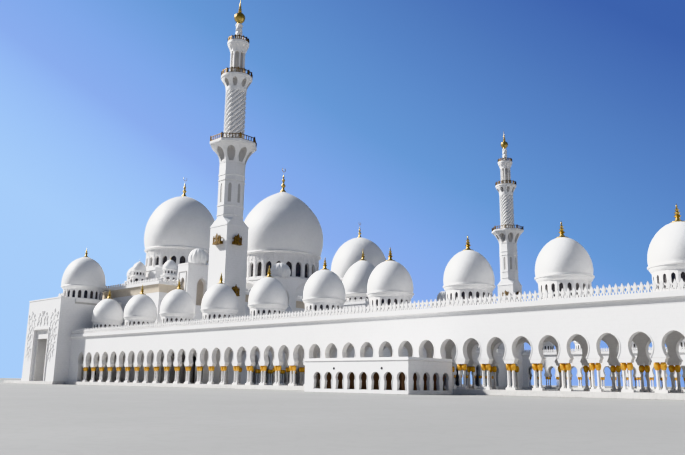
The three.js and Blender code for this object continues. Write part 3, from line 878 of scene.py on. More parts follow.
@dataclass
class Assembly:
    """One part of the building, whose meshes are gathered by finish."""

    name: str
    kit: Kit
    works: dict[Finish, bmesh.types.BMesh] = field(default_factory=dict, init=False, repr=False)

    def put(self, what: "Form | bpy.types.Mesh", finish: Finish, at: Point = (0, 0, 0), turn: float = 0.0) -> None:
        """Adds a form or mesh, turned about Z and moved.

        Args:
            what: The form or mesh.
            finish: Its finish.
            at: Where its origin goes.
            turn: How far it is turned.
        """
        mesh = what.mesh("part") if isinstance(what, Form) else what.copy()
        mesh.transform(Matrix.Translation(at) @ Matrix.Rotation(turn, 4, "Z"))
        if finish not in self.works:
            self.works[finish] = bmesh.new()
        self.works[finish].from_mesh(mesh)
        bpy.data.meshes.remove(mesh)

    def on(self, plane: Plane, what: "Form | bpy.types.Mesh", finish: Finish, along: float = 0.0) -> None:
        """Adds a form that was made for a plane that looks along -Y."""
        self.put(what, finish, plane.spot(along), plane.facing.value)

    def row(self, plane: Plane, form: Form, finish: Finish, count: int, start: Point, pitch: float) -> None:
        """Adds copies of a form in a row along a plane."""
        self.on(plane, self.kit.layout.row(form, self.kit.of(finish), count, start, (pitch, 0, 0)), finish)

    def ring(self, form: Form, finish: Finish, count: int, radius: float, at: Point, phase: float = 0.0) -> None:
        """Adds copies of a form in a ring, each with its front outwards."""
        self.put(self.kit.layout.ring(form, self.kit.of(finish), count, radius, phase), finish, at)

    def shape(self) -> None:
        """Adds the part's forms. Each part has its own."""
        raise NotImplementedError

    def build(self, *nodes: str) -> None:
        """Shapes the part and makes its pieces, one for each finish, in place of the named solids.

        Args:
            nodes: The solids' names.
        """
        self.shape()
        to_model = Matrix.Scale(SCALE, 4) @ Matrix.Translation((0, -MIDDLE_Y, 0))
        for number, (finish, work) in enumerate(self.works.items()):
            mesh = bpy.data.meshes.new(f"{self.name}_{finish.name}")
            work.transform(to_model)
            work.to_mesh(mesh)
            work.free()
            mesh.materials.clear()
            mesh.materials.append(self.kit.of(finish))
            piece = bpy.data.objects.new(mesh.name, mesh)
            bpy.context.scene.collection.objects.link(piece)
            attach(piece, BODY)
            if number == 0 and nodes:
                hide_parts(*nodes)
            LOG.info("%s: %d faces", piece.name, len(mesh.polygons))


@dataclass(frozen=True)
class EdgeForm:
    """The edge of a roof: a cove under a plain band, with a row of pointed merlons on it."""

    eaves: float
    cove_from: float
    band_from: float
    roof: float
    top: float
    rim: float
    merlon: float
    pitch: float
    # Whether the cove gets a darker layer of painted shade.
    lining: bool = False

    def section(self) -> Outline:
        """The section as (out from the wall, height)."""
        inner, edge = -0.05, self.eaves + 0.01
        return [(inner, self.cove_from), *self._cove(0.0), (edge, self.top), (edge - self.rim, self.top),
                (edge - self.rim, self.roof), (inner, self.roof)]

    def lining_section(self) -> Outline:
        """The section of the darker cream layer that lines the cove, painted shade under the eaves."""
        return [*self._cove(0.0)[:-1], *self._cove(0.03)[-2::-1]]

    def _cove(self, proud: float) -> Outline:
        """The hollow curve under the band, set forward a little.

        Args:
            proud: How far it is set forward.

        Returns:
            Points of (out, height).
        """
        rise = self.band_from - self.cove_from
        angles = (i / 6 * math.pi / 2 for i in range(7))
        return [(self.eaves * (1 - math.cos(a)) + 0.01 + proud, self.cove_from + rise * math.sin(a) - proud * 0.5)
                for a in angles]

    def crest(self) -> Form:
        """One openwork merlon: a leaf between two bent legs that meet the next one's.

        Returns:
            The merlon over the middle of its pitch.
        """
        w, h = self.pitch, self.merlon
        half = [(0.13 * w, 0.0), (0.1 * w, 0.16 * h), (0.29 * w, 0.46 * h), (0.27 * w, 0.62 * h), (0.1 * w, 0.86 * h)]
        form = Form().prism([*half, (0.0, h), *[(-x, z) for x, z in half[::-1]]], -0.11, 0.11)
        for side in (-1, 1):
            leg = [(0.5, 0.0), (0.5, 0.13), (0.3, 0.4), (0.5, 0.6), (0.5, 0.75), (0.2, 0.46), (0.2, 0.36), (0.4, 0.0)]
            form.prism([(side * x * w, z * h) for x, z in leg], -0.07, 0.07)
        return form


LOW_EDGE = EdgeForm(0.45, 12.0, 12.86, 13.2, 13.6, 0.35, 1.5, 0.85)
HALL_EDGE = EdgeForm(0.7, 25.65, 27.9, 28.2, 28.6, 0.4, 1.15, 1.4, True)
ENTRANCE_EDGE = EdgeForm(0.25, 25.9, 26.5, 27.0, 27.3, 0.35, 0.9, 0.85)


@dataclass
class Roofed(Assembly):
    """An assembly that has roof edges."""

    def edge(self, plane: Plane, start: float, end: float, form: EdgeForm,
             mitres: tuple[int, int] = (0, 0)) -> None:
        """Adds a stretch of roof edge with its merlons.

        Args:
            plane: The wall's outer face.
            start: One end, as a coordinate of the plan.
            end: The other end.
            form: The edge's shape.
            mitres: 1 where the end at start or end goes round an outer corner.
        """
        a, b = plane.along(start), plane.along(end)
        if a > b:
            a, b, mitres = b, a, mitres[::-1]
        length = b - a
        self.on(plane, Form().run(form.section(), length, mitres), MARBLE, (a + b) / 2)
        # The cove's darker lining is painted shade under the eaves.
        if form.lining:
            self.on(plane, Form().run(form.lining_section(), length, mitres), COVE_SHADE, (a + b) / 2)
        count = int((length + form.eaves * sum(mitres)) / form.pitch)
        first = (a + b + form.eaves * (mitres[1] - mitres[0])) / 2 - (count - 1) * form.pitch / 2
        self.row(plane, form.crest(), CARVED, count, (first, form.rim / 2 - form.eaves, form.top), form.pitch)

    def edges(self, reach: float, front: float, back: float, form: EdgeForm) -> None:
        """Adds a roof edge all round a block that reaches as far to the left as to the right.

        Args:
            reach: How far that is.
            front: The block's front.
            back: Its back.
            form: The edge's shape.
        """
        for side in Side:
            self.edge(Plane(outward(side), side.value * reach), front, back, form, (1, 1))
        for facing, y in ((Facing.FRONT, front), (Facing.BACK, back)):
            self.edge(Plane(facing, y), -reach, reach, form, (1, 1))


# The plan: faces and rows that several parts share, as x or y, and the steps of the arches and small domes.
OUTER_X, COURT_X, ROW_X = 86.7, 72.3, 79.5
FRONT_Y, COURT_FRONT_Y, COURT_REAR_Y = 7.2, 21.6, 144.9
HALL_Y, HALL_FRONT_Y, HALL_BACK_Y = 202.6, 172.5, 232.7
PITCH = 4.304
DOME_PITCH = 4 * PITCH
MINARET_X, MINARET_FRONT_Y, MINARET_REAR_Y = 70.75, 22.5, 144.0
MINARET_CLEAR = 3.453
SIDE_DOME_X = 45.8
PORTAL_HALF, PORTAL_SLAB = 10.15, 4.15
OCTAGON = math.pi / 4
# Heights that several parts share.
FLOOR_TOP, SPRING, WALL_TOP = 0.8, 5.24, 12.8
ROOF_LOW, ROOF_HIGH, ROOF_CLEAR = 12.83, 13.19, 13.22
LOW_BALCONY, MIDDLE_BALCONY, TOP_BALCONY = 62.8, 81.9, 92.1
# The walls' thickness, and the seams that keep neighbours from sharing a face.
WALL = 1.1
WALL_SEAM, SIDE_SEAM, ROOF_SEAM = 0.003, 0.01, 0.03
HORSESHOE = ArchForm(SPRING, 5.3, 1.12, 6.8, 1.57, 8.62, steps=9, point=0.18)


def octagonal(angle: float) -> float:
    """How much further out an octagon is at an angle than in the middle of a side."""
    return 1 / math.cos((angle + OCTAGON / 2) % OCTAGON - OCTAGON / 2)


def eight_sided(profile: Outline) -> Form:
    """A body from a profile of (distance to the middle of a side, height)."""
    return Form().lathe([(out * octagonal(OCTAGON / 2), z) for out, z in profile], 8, OCTAGON / 2)


@dataclass
class Arcade(Assembly):
    """A wall of horseshoe arches on pairs of slim columns with gold capitals."""

    plane: Plane
    start: float
    end: float
    first: float
    count: int
    top: float = WALL_TOP
    column_radius: float = 0.21
    column_apart: float = 0.41
    rim: float = 0.16
    rim_depth: float = 0.04

    def shape(self) -> None:
        """Adds the wall's forms."""
        last = self.first + (self.count - 1) * PITCH
        middles = self.plane.span(self.first, last)
        self._bays(middles[0])
        self._ends(middles, self.plane.span(self.start, self.end))
        self._piers(middles[0] + PITCH / 2)

    def _bays(self, first: float) -> None:
        """The arches and the plain wall over them.

        Args:
            first: The first arch's middle, along the plane.
        """
        half = PITCH / 2
        outline = pierced(HORSESHOE, (-half, half), SPRING, self.top)
        self._row(Form().prism(outline, 0, WALL, open_at=half), MARBLE, self.count, first)
        rims = Form()
        for face in (-self.rim_depth, WALL):
            rims.strip(HORSESHOE.whole(), HORSESHOE.whole(self.rim), face, face + self.rim_depth)
        self._row(rims, CARVED, self.count, first)

    def _ends(self, middles: list[float], ends: list[float]) -> None:
        """The plain wall at both ends.

        Args:
            middles: The middles of the first and the last arch.
            ends: The wall's ends.
        """
        reach = PITCH / 2
        for edge, outer in ((middles[0] - reach, ends[0]), (middles[1] + reach, ends[1])):
            into = 1 if outer < edge else -1
            jamb = edge + into * (reach - HORSESHOE.neck_half)
            self.on(self.plane, Form().block(outer, jamb, 0, WALL, FLOOR_TOP, SPRING), MARBLE)
            if abs(outer - edge) > WELD:
                self.on(self.plane, Form().block(outer, edge, 0, WALL, SPRING, self.top), MARBLE)

    def _piers(self, first: float) -> None:
        """The columns, their capitals and the blocks under the arches.

        Args:
            first: The first pier's middle, along the plane.
        """
        middle = WALL / 2
        half = PITCH / 2 - HORSESHOE.neck_half
        side = [(0.72, 4.62), (0.8, 4.7), (0.84, 4.95), (half - 0.04, 5.16), (half, SPRING)]
        impost = [*side, *[(-x, z) for x, z in side[::-1]]]
        stone = Form().prism(impost, 0.02, WALL - 0.02)
        stone.block(-0.78, 0.78, 0.14, WALL - 0.14, FLOOR_TOP, 1.15)
        gold = Form()
        r = self.column_radius
        shaft = Form().lathe([(r + 0.1, 1.15), (r + 0.09, 1.3), (r, 1.42), (r - 0.01, 3.75)], 12)
        leaf = [(r, 3.62), (r + 0.1, 3.72), (r + 0.17, 3.92), (r + 0.2, 4.15), (r + 0.18, 4.37), (r + 0.1, 4.57),
                (r, 4.64)]
        palm = Form().lathe(leaf, 12, ribs=Ribs(1.0, 0.06, 6, sharp=False))
        for along in (-self.column_apart, self.column_apart):
            stone.join(shaft, (along, middle, 0))
            gold.join(palm, (along, middle, 0))
        self._row(stone, CARVED, self.count - 1, first)
        self._row(gold, GOLD, self.count - 1, first)

    def _row(self, form: Form, finish: Finish, count: int, first: float) -> None:
        """Lays a form out once for each arch or pier."""
        self.row(self.plane, form, finish, count, (first, 0, 0), PITCH)


@dataclass(frozen=True)
class DomeForm:
    """A dome on a drum of arched windows, with its finial. Heights are from the ground."""

    windows: int
    radius: float
    foot: float
    sill: float
    head: float
    top: float
    window_half: float
    outline: tuple[tuple[float, float], ...]
    finial: tuple[tuple[float, float], ...]
    thick: float = 0.3
    frame: float = 0.1
    pilaster: float = 0.0
    sides: int = 40
    steps: int = 3
    shells: bool = False
    crescent: float = 0.0
    lobes: int = 0
    sunk: float = 0.8

    @property
    def width(self) -> float:
        """The width of one side of the drum."""
        return 2 * self.radius * math.tan(math.pi / self.windows)

    def window(self) -> ArchForm:
        """The opening of one window."""
        spring = self.head - self.window_half * 1.35
        return plain_arch(self.sill, spring, self.window_half, self.head)

    def side(self) -> Form:
        """One side of the drum, with its window.

        Returns:
            The side, looking along -Y.
        """
        half = self.width / 2
        arch = self.window()
        form = Form().prism(pierced(arch, (-half, half), self.sill, self.top), 0, self.thick, open_at=half)
        form.block(-half, half, 0, self.thick, self.foot, self.sill)
        if self.frame:
            form.strip(arch.whole(), arch.whole(self.frame), -self.frame * 0.4, 0.0)
        return form

    def post(self) -> Form:
        """One pilaster between two windows."""
        w, out = self.pilaster, self.pilaster * 0.45
        return (Form().block(-w, w, -out, out, self.foot, self.head + 0.2 * w)
                .block(-1.3 * w, 1.3 * w, -1.4 * out, out, self.head + 0.2 * w, self.head + 0.7 * w))

    def shell(self) -> Form:
        """The fan of ribs in a blind arch over a window.

        Returns:
            The ribs and the raised arch round them.
        """
        low = self.head + 0.5
        reach = self.top - low - 0.3
        form = Form()
        for i in range(7):
            angle = math.radians(12 + 26 * i)
            tip = (reach * 0.8 * math.cos(angle), low + reach * math.sin(angle))
            side = (-0.1 * math.sin(angle), 0.1 * math.cos(angle))
            outline = [(0.12 * math.cos(angle), low), (tip[0] - side[0], tip[1] - side[1]),
                       (tip[0] + side[0], tip[1] + side[1])]
            form.prism(outline, -0.08, 0.02)
        arch = plain_arch(low - 0.2, low, reach * 0.86, low + reach * 1.12)
        return form.strip(arch.whole(), arch.whole(0.14), -0.1, 0.0)

    def cap(self) -> Form:
        """The dome from its lip to its tip.

        Returns:
            The dome on the Z axis.
        """
        ribs = Ribs(0.92, 0.08, self.lobes / 2) if self.lobes else None
        curve = smooth_outline(self.outline, self.steps)
        tip = curve.pop()
        return Form().lathe([*((max(r, 0.0), z) for r, z in curve), (0.0, tip[1])], self.sides, ribs=ribs)

    def ball(self) -> Form:
        """The finial, with a crescent where there is one.

        Returns:
            The finial on the Z axis.
        """
        form = Form().lathe(list(self.finial), 16)
        if self.crescent:
            tip = self.finial[-1][1]
            r = self.crescent
            path = [(r * math.sin(a), 0.0, tip + r * 0.9 - r * math.cos(a))
                    for a in (math.radians(-140 + 20 * i) for i in range(15))]
            form.tube(path, r * 0.16, 6)
        return form


SMALL_DOME = DomeForm(
    windows=20, radius=3.86, foot=13.15, sill=14.3, head=16.5, top=16.95, window_half=0.3, thick=0.35, frame=0.0,
    outline=((3.8, 16.85), (4.05, 17.05), (4.24, 17.4), (4.26, 17.55), (4.42, 17.6), (4.42, 17.82), (4.22, 17.88),
             (4.3, 18.4), (4.31, 18.9), (4.24, 19.6), (4.1, 20.3), (3.86, 21.0), (3.5, 21.7), (3.02, 22.4),
             (2.42, 23.05), (1.72, 23.57), (0.95, 23.92), (0.0, 24.1)),
    finial=((1.0, 23.85), (0.98, 24.02), (0.5, 24.16), (0.34, 24.4), (0.24, 24.62), (0.5, 24.88), (0.22, 25.12),
            (0.4, 25.36), (0.15, 25.58), (0.3, 25.8), (0.1, 26.02), (0.13, 26.3), (0.0, 26.75)),
    steps=1, sides=36, sunk=0.35)
PORTAL_DOME = DomeForm(
    windows=20, radius=5.55, foot=22.4, sill=24.8, head=27.15, top=27.6, window_half=0.48, thick=0.4, frame=0.0,
    pilaster=0.14, sunk=0.45,
    outline=((5.5, 27.4), (5.8, 27.6), (6.1, 27.95), (6.15, 28.15), (6.42, 28.25), (6.42, 28.45), (6.3, 28.6),
             (6.38, 29.2), (6.34, 30.2), (6.22, 31.3), (5.95, 32.5), (5.5, 33.7), (4.85, 34.9), (3.95, 36.0),
             (2.85, 36.9), (1.65, 37.5), (0.8, 37.75), (0.0, 37.8)),
    finial=((1.2, 37.4), (1.15, 37.75), (0.6, 37.95), (0.38, 38.25), (0.3, 38.55), (0.55, 38.85), (0.26, 39.15),
            (0.42, 39.45), (0.18, 39.75), (0.25, 40.05), (0.09, 40.35), (0.0, 41.2)),
    steps=1)
ENTRANCE_DOME = DomeForm(
    windows=20, radius=6.5, foot=27.2, sill=27.7, head=29.5, top=29.9, window_half=0.5, thick=0.4, frame=0.0,
    outline=((6.4, 29.7), (6.9, 30.0), (7.3, 30.4), (7.62, 30.55), (7.62, 30.8), (7.45, 30.95), (7.6, 31.8),
             (7.6, 33.0), (7.35, 34.6), (6.8, 36.4), (5.9, 38.3), (4.6, 40.2), (3.1, 41.6), (1.6, 42.6),
             (0.6, 42.95), (0.0, 43.0)),
    finial=((1.3, 42.3), (1.2, 42.95), (0.62, 43.2), (0.36, 43.5), (0.3, 43.8), (0.68, 44.2), (0.28, 44.6),
            (0.5, 44.95), (0.2, 45.3), (0.3, 45.6), (0.12, 45.9), (0.14, 46.4), (0.0, 47.3)),
    steps=1)
CENTRE_DOME = DomeForm(
    windows=24, radius=14.6, foot=38.2, sill=39.3, head=44.9, top=48.2, window_half=1.22, thick=1.1, frame=0.2,
    pilaster=0.3, shells=True,
    outline=((14.5, 47.8), (14.8, 48.15), (15.55, 48.4), (15.55, 48.8), (15.2, 48.95), (15.55, 50.2), (16.0, 52.4),
             (16.2, 54.6), (16.15, 57.0), (15.75, 59.4), (15.0, 61.6), (13.9, 64.0), (12.3, 66.3), (10.3, 68.7),
             (7.9, 70.9), (5.3, 72.6), (2.8, 73.9), (1.3, 74.6), (0.0, 74.8)),
    finial=((1.35, 74.3), (1.1, 75.0), (0.5, 75.9), (0.42, 76.5), (0.95, 77.3), (0.4, 78.2), (0.34, 78.8),
            (0.66, 79.6), (0.24, 80.4), (0.36, 81.0), (0.12, 81.5), (0.0, 83.2)),
    sides=72, steps=2, crescent=0.85)
SIDE_DOME = DomeForm(
    windows=24, radius=11.25, foot=36.9, sill=38.0, head=41.1, top=43.6, window_half=0.92, thick=0.85, frame=0.16,
    pilaster=0.22, shells=True,
    outline=((11.2, 43.2), (11.4, 43.5), (12.0, 43.75), (12.0, 44.1), (11.7, 44.25), (12.05, 45.4), (12.35, 47.2),
             (12.4, 49.2), (12.15, 51.6), (11.6, 53.8), (10.7, 55.9), (9.4, 58.1), (7.7, 60.1), (5.8, 61.6),
             (3.6, 62.8), (1.7, 63.4), (0.8, 63.5), (0.0, 63.5)),
    finial=((1.1, 63.1), (0.85, 63.8), (0.4, 64.5), (0.34, 64.9), (0.75, 65.5), (0.3, 66.2), (0.5, 66.9),
            (0.2, 67.5), (0.28, 67.9), (0.1, 68.3), (0.0, 69.4)),
    sides=64, steps=2, crescent=0.68)
LANTERN_DOME = DomeForm(
    windows=12, radius=2.05, foot=33.7, sill=34.3, head=35.2, top=35.5, window_half=0.3, thick=0.3, frame=0.0,
    outline=((2.0, 35.35), (2.2, 35.5), (2.36, 35.6), (2.36, 35.75), (2.25, 35.85), (2.3, 36.3), (2.15, 36.9),
             (1.85, 37.5), (1.4, 38.1), (0.85, 38.6), (0.3, 38.88), (0.0, 38.9)),
    finial=((0.2, 38.8), (0.08, 39.1), (0.18, 39.3), (0.06, 39.55), (0.0, 40.1)),
    steps=1, sides=28)
LANTERN_FOOT = DomeForm(
    windows=8, radius=2.6, foot=28.1, sill=31.1, head=33.1, top=33.5, window_half=0.66, thick=0.4, frame=0.1,
    outline=((2.6, 33.4), (2.86, 33.5), (2.86, 33.75), (2.2, 33.9), (0.0, 33.9)),
    finial=(), steps=1, sides=24)
TOWER_DOME = DomeForm(
    windows=12, radius=2.7, foot=34.0, sill=34.2, head=34.9, top=35.0, window_half=0.2, thick=0.3, frame=0.0,
    outline=((2.7, 34.3), (2.95, 34.5), (3.2, 35.0), (3.42, 35.8), (3.4, 36.6), (3.1, 37.4), (2.55, 38.15),
             (1.8, 38.75), (0.9, 39.1), (0.0, 39.1)),
    finial=(), steps=2, sides=72, lobes=12)
SMALL_TOWER_DOME = replace(
    TOWER_DOME, radius=2.2, outline=tuple((0.8 * radius, height) for radius, height in TOWER_DOME.outline))


@dataclass
class Domed(Roofed):
    """An assembly that carries domes."""

    def domes(self, form: DomeForm, spots: Sequence[tuple[float, float]], phase: float = 0.0) -> None:
        """Adds a dome at each given (x, y).

        Args:
            form: The dome's shape.
            spots: The axes of the domes.
            phase: Turn of the first window.
        """
        places = [(x, y, 0.0) for x, y in spots]
        for finish, mesh in self._parts(form, phase):
            self.put(self.kit.layout.places(mesh, self.kit.of(finish), places), finish)

    def _parts(self, form: DomeForm, phase: float) -> list[tuple[Finish, bpy.types.Mesh]]:
        """The meshes of one dome on the Z axis, with their finishes.

        Args:
            form: The dome's shape.
            phase: Turn of the first window.

        Returns:
            The finish and the mesh of each part.
        """
        step = math.pi / form.windows
        rings = [(form.side(), form.radius, phase)]
        if form.pilaster:
            rings.append((form.post(), form.radius / math.cos(step), phase + step))
        if form.shells:
            rings.append((form.shell(), form.radius, phase))
        parts: list[tuple[Finish, bpy.types.Mesh]] = [(PLASTER, form.cap().mesh("cap"))]
        parts += [(CARVED, self.kit.layout.ring(thing, self.kit.of(CARVED), form.windows, radius, turn))
                  for thing, radius, turn in rings]
        inner = form.radius - form.thick * form.sunk
        glass = Form().lathe([(inner, form.sill - 0.1), (inner, form.head + 0.1)], form.windows, phase + step)
        parts.append((GLASS, glass.mesh("glass")))
        if form.finial:
            parts.append((FINIAL, form.ball().mesh("finial")))
        return parts


@dataclass
class SideRoof(Domed):
    """The roof of a side arcade with its row of domes."""

    side: Side
    first_dome: float = 14.4
    count: int = 11

    def shape(self) -> None:
        """Adds the roof's forms."""
        s = self.side.value
        end = HALL_Y - PORTAL_HALF - ROOF_SEAM
        self.put(Form().block(s * OUTER_X, s * COURT_X, FRONT_Y, end, ROOF_LOW, ROOF_HIGH), MARBLE)
        self.edge(Plane(outward(self.side), s * OUTER_X), FRONT_Y, end, LOW_EDGE, (1, 0))
        self.edge(Plane(Facing.FRONT, FRONT_Y), s * OUTER_X, s * COURT_X, LOW_EDGE, (1, 0))
        court = Plane(inward(self.side), s * COURT_X)
        self.edge(court, MINARET_FRONT_Y + MINARET_CLEAR, MINARET_REAR_Y - MINARET_CLEAR, LOW_EDGE)
        self.domes(SMALL_DOME, [(s * ROW_X, self.first_dome + DOME_PITCH * i) for i in range(self.count)])


@dataclass
class CrossRoof(Domed):
    """The roof of the arcade that runs across, before or behind the court."""

    rear: bool
    outer_dome: float = 62.3
    count: int = 3

    def shape(self) -> None:
        """Adds the roof's forms."""
        reach = COURT_X - SIDE_SEAM
        clear = MINARET_X - MINARET_CLEAR
        if self.rear:
            back = HALL_FRONT_Y - ROOF_SEAM
            self.put(Form().block(-reach, reach, COURT_REAR_Y, back, ROOF_LOW, ROOF_HIGH), MARBLE)
            self.edge(Plane(Facing.FRONT, COURT_REAR_Y), -clear, clear, LOW_EDGE)
            row = COURT_REAR_Y + (OUTER_X - COURT_X) / 2
        else:
            gap = PORTAL_HALF + ROOF_SEAM
            for s in (-1, 1):
                self.put(Form().block(s * gap, s * reach, FRONT_Y, COURT_FRONT_Y, ROOF_LOW, ROOF_HIGH), MARBLE)
                self.edge(Plane(Facing.FRONT, FRONT_Y), s * gap, s * reach, LOW_EDGE)
            self.put(Form().block(-gap, gap, COURT_FRONT_Y - WALL, COURT_FRONT_Y, ROOF_LOW, ROOF_HIGH), MARBLE)
            self.edge(Plane(Facing.BACK, COURT_FRONT_Y), -clear, clear, LOW_EDGE)
            row = (FRONT_Y + COURT_FRONT_Y) / 2
        self.domes(SMALL_DOME, [(s * (self.outer_dome - DOME_PITCH * i), row) for i in range(self.count)
                                for s in (-1, 1)])


def turned_outline(outline: Outline, angle: float, at: tuple[float, float]) -> Outline:
    """An upright outline turned about its origin and moved."""
    c, s = math.cos(angle), math.sin(angle)
    return [(at[0] + x * c - z * s, at[1] + x * s + z * c) for x, z in outline]


@dataclass
class Portal(Domed):
    """A portal with a slab front, a tall recess, a vine relief and a dome."""

    plane: Plane
    back: float
    middle: float = 0.0
    half: float = PORTAL_HALF
    slab_top: float = 24.05
    block_top: float = 24.0
    room_top: float = 20.4
    door_half: float = 4.45
    door_top: float = 15.2
    wall: float = 1.2
    arcade_door: tuple[float, float] = (1.6, 6.5)
    cornice: float = 22.9
    shadow: float = 0.5
    frame_width: float = 0.5
    frame_proud: float = 0.22
    reveal_side: float = 0.9
    reveal_top: float = 2.6

    def shape(self) -> None:
        """Adds the portal's forms."""
        for form, finish in ((self._slab(), MARBLE), (self._room(), MARBLE), (self._bands(), CARVED),
                             (self._vine(), CARVED), (self._shadow_gap(), SHADE_STONE)):
            self.on(self.plane, form, finish, self.plane.along(self.middle))
        depth = (OUTER_X - COURT_X) / 2
        axis = self.plane.spot(self.plane.along(self.middle), -depth)
        self.domes(PORTAL_DOME, [axis[:2]])

    def _slab(self) -> Form:
        """The slab that stands out in front, cut open by the tall recess.

        Returns:
            The slab.
        """
        h = self.half
        door = doorway(self.door_half, FLOOR_TOP, self.door_top)
        outline = [(-h, FLOOR_TOP), *door, (h, FLOOR_TOP), (h, self.slab_top), (-h, self.slab_top)]
        return Form().prism(outline, -PORTAL_SLAB, self.wall)

    def _room(self) -> Form:
        """The walls and the ceiling of the room behind the slab.

        Returns:
            The room.
        """
        h, w = self.half, self.wall
        middle = (OUTER_X - COURT_X) / 2
        door, head = self.arcade_door
        form = Form().block(-h, h, w, self.back, self.room_top, self.block_top)
        for x0, x1 in ((-h, w - h), (h - w, h)):
            form.block(x0, x1, w, middle - door, FLOOR_TOP, self.room_top)
            form.block(x0, x1, middle + door, self.back, FLOOR_TOP, self.room_top)
            form.block(x0, x1, middle - door, middle + door, head, self.room_top)
        for x0, x1 in ((w - h, -self.door_half), (self.door_half, h - w)):
            form.block(x0, x1, self.back - w, self.back, FLOOR_TOP, self.room_top)
        return form.block(-self.door_half, self.door_half, self.back - w, self.back, self.door_top, self.room_top)

    def _bands(self) -> Form:
        """The string courses and the raised frame round the recess.

        Returns:
            The courses and the frames.
        """
        h, d = self.half, self.door_half
        form = Form().block(-h - 0.3, h + 0.3, 0.0, self.back, self.cornice, self.block_top + 0.03)
        form.block(-h - 0.1, h + 0.1, -PORTAL_SLAB - 0.1, 0.0, self.slab_top - 0.35, self.slab_top + 0.05)
        inner = doorway(d, FLOOR_TOP, self.door_top)
        outer = doorway(d + self.frame_width, FLOOR_TOP, self.door_top + self.frame_width)
        form.strip(inner, outer, -PORTAL_SLAB - self.frame_proud, -PORTAL_SLAB)
        within = doorway(d - self.reveal_side, FLOOR_TOP, self.door_top - self.reveal_top)
        return form.strip(within, inner, 0.55 - PORTAL_SLAB, 1.1 - PORTAL_SLAB)

    def _shadow_gap(self) -> Form:
        """The band of painted shadow under the block's cornice."""
        reach = self.half + 0.08
        return Form().block(-reach, reach, 0.0, self.back - 0.1, self.cornice - self.shadow, self.cornice)

    def _vine(self) -> Form:
        """Mirrored stems with small leaves and blossoms in low relief round the recess, drawn by rule.

        Returns:
            The relief.
        """
        form = Form()
        face = -PORTAL_SLAB
        leaf = [(0.0, 0.0), (0.2, 0.25), (0.24, 0.5), (0.0, 0.95), (-0.24, 0.5), (-0.2, 0.25)]
        for side in (-1, 1):
            for number in range(5):
                stem = self._stem(side, number)
                form.tube([(x, face, z) for x, z in stem], 0.085, 5)
                for place in range(2 + number % 2, len(stem) - 1, 2):
                    lean = 1 if place % 4 < 2 else -1
                    turned = turned_outline(leaf, -side * lean * (0.7 + 0.15 * number), stem[place])
                    form.prism(turned, face - 0.12, face + 0.02)
                for place in (len(stem) - 1, len(stem) // 2, len(stem) // 4):
                    form.prism(self._blossom(stem[place], 0.42, 6), face - 0.13, face + 0.02)
                    form.prism(self._blossom(stem[place], 0.16, 5), face - 0.19, face - 0.12)
        return form

    def _stem(self, side: int, number: int) -> Outline:
        """The line of one stem: two stand on the lintel, the rest beside the recess.

        Args:
            side: -1 for the left half, 1 for the right.
            number: Counted from the recess outwards.

        Returns:
            Points of (along, height).
        """
        if number < 2:
            foot, out, tall = self.door_top + 0.9, 1.0 + 2.0 * number, 4.1 - 0.5 * number
        else:
            foot, out, tall = 2.5 + 1.2 * number, self.door_half + 1.1 + 1.35 * (number - 2), 0.0
            tall = self.slab_top - 3.6 - 0.9 * abs(number - 3) - foot
        steps = max(8, int(tall / 0.5))
        line = []
        for i in range(steps + 1):
            share = i / steps
            line.append((out + 0.3 * math.sin(1.1 * tall * share + 2 * number) + 0.5 * share ** 3 * (number - 2.5),
                         foot + tall * share))
        return [(side * x, z) for x, z in line]

    def _blossom(self, at: tuple[float, float], size: float, petals: int) -> Outline:
        """The outline of a blossom.

        Args:
            at: Its middle.
            size: Its radius.
            petals: How many it has.

        Returns:
            Points of (along, height).
        """
        count = petals * 4
        petal = Ribs(0.78, 0.22, petals, sharp=False)
        return [(at[0] + size * petal(a, 0) * math.cos(a), at[1] + size * petal(a, 0) * math.sin(a))
                for a in (2 * math.pi * i / count for i in range(count))]


@dataclass
class HallRoof(Domed):
    """The hall's roof with its edges and the lanterns round the side domes."""

    low: float = 27.35
    high: float = 28.19
    lantern_ring: float = 15.3
    lanterns: int = 8

    def shape(self) -> None:
        """Adds the roof's forms."""
        self.put(Form().block(-COURT_X, COURT_X, HALL_FRONT_Y, HALL_BACK_Y, self.low, self.high), MARBLE)
        self.edges(COURT_X, HALL_FRONT_Y, HALL_BACK_Y, HALL_EDGE)
        angles = [2 * math.pi / self.lanterns * i for i in range(self.lanterns)]
        spots = [(side.value * SIDE_DOME_X + self.lantern_ring * math.cos(a), HALL_Y + self.lantern_ring * math.sin(a))
                 for side in Side for a in angles]
        self.domes(LANTERN_FOOT, spots)
        self.domes(LANTERN_DOME, spots, math.pi / 12)


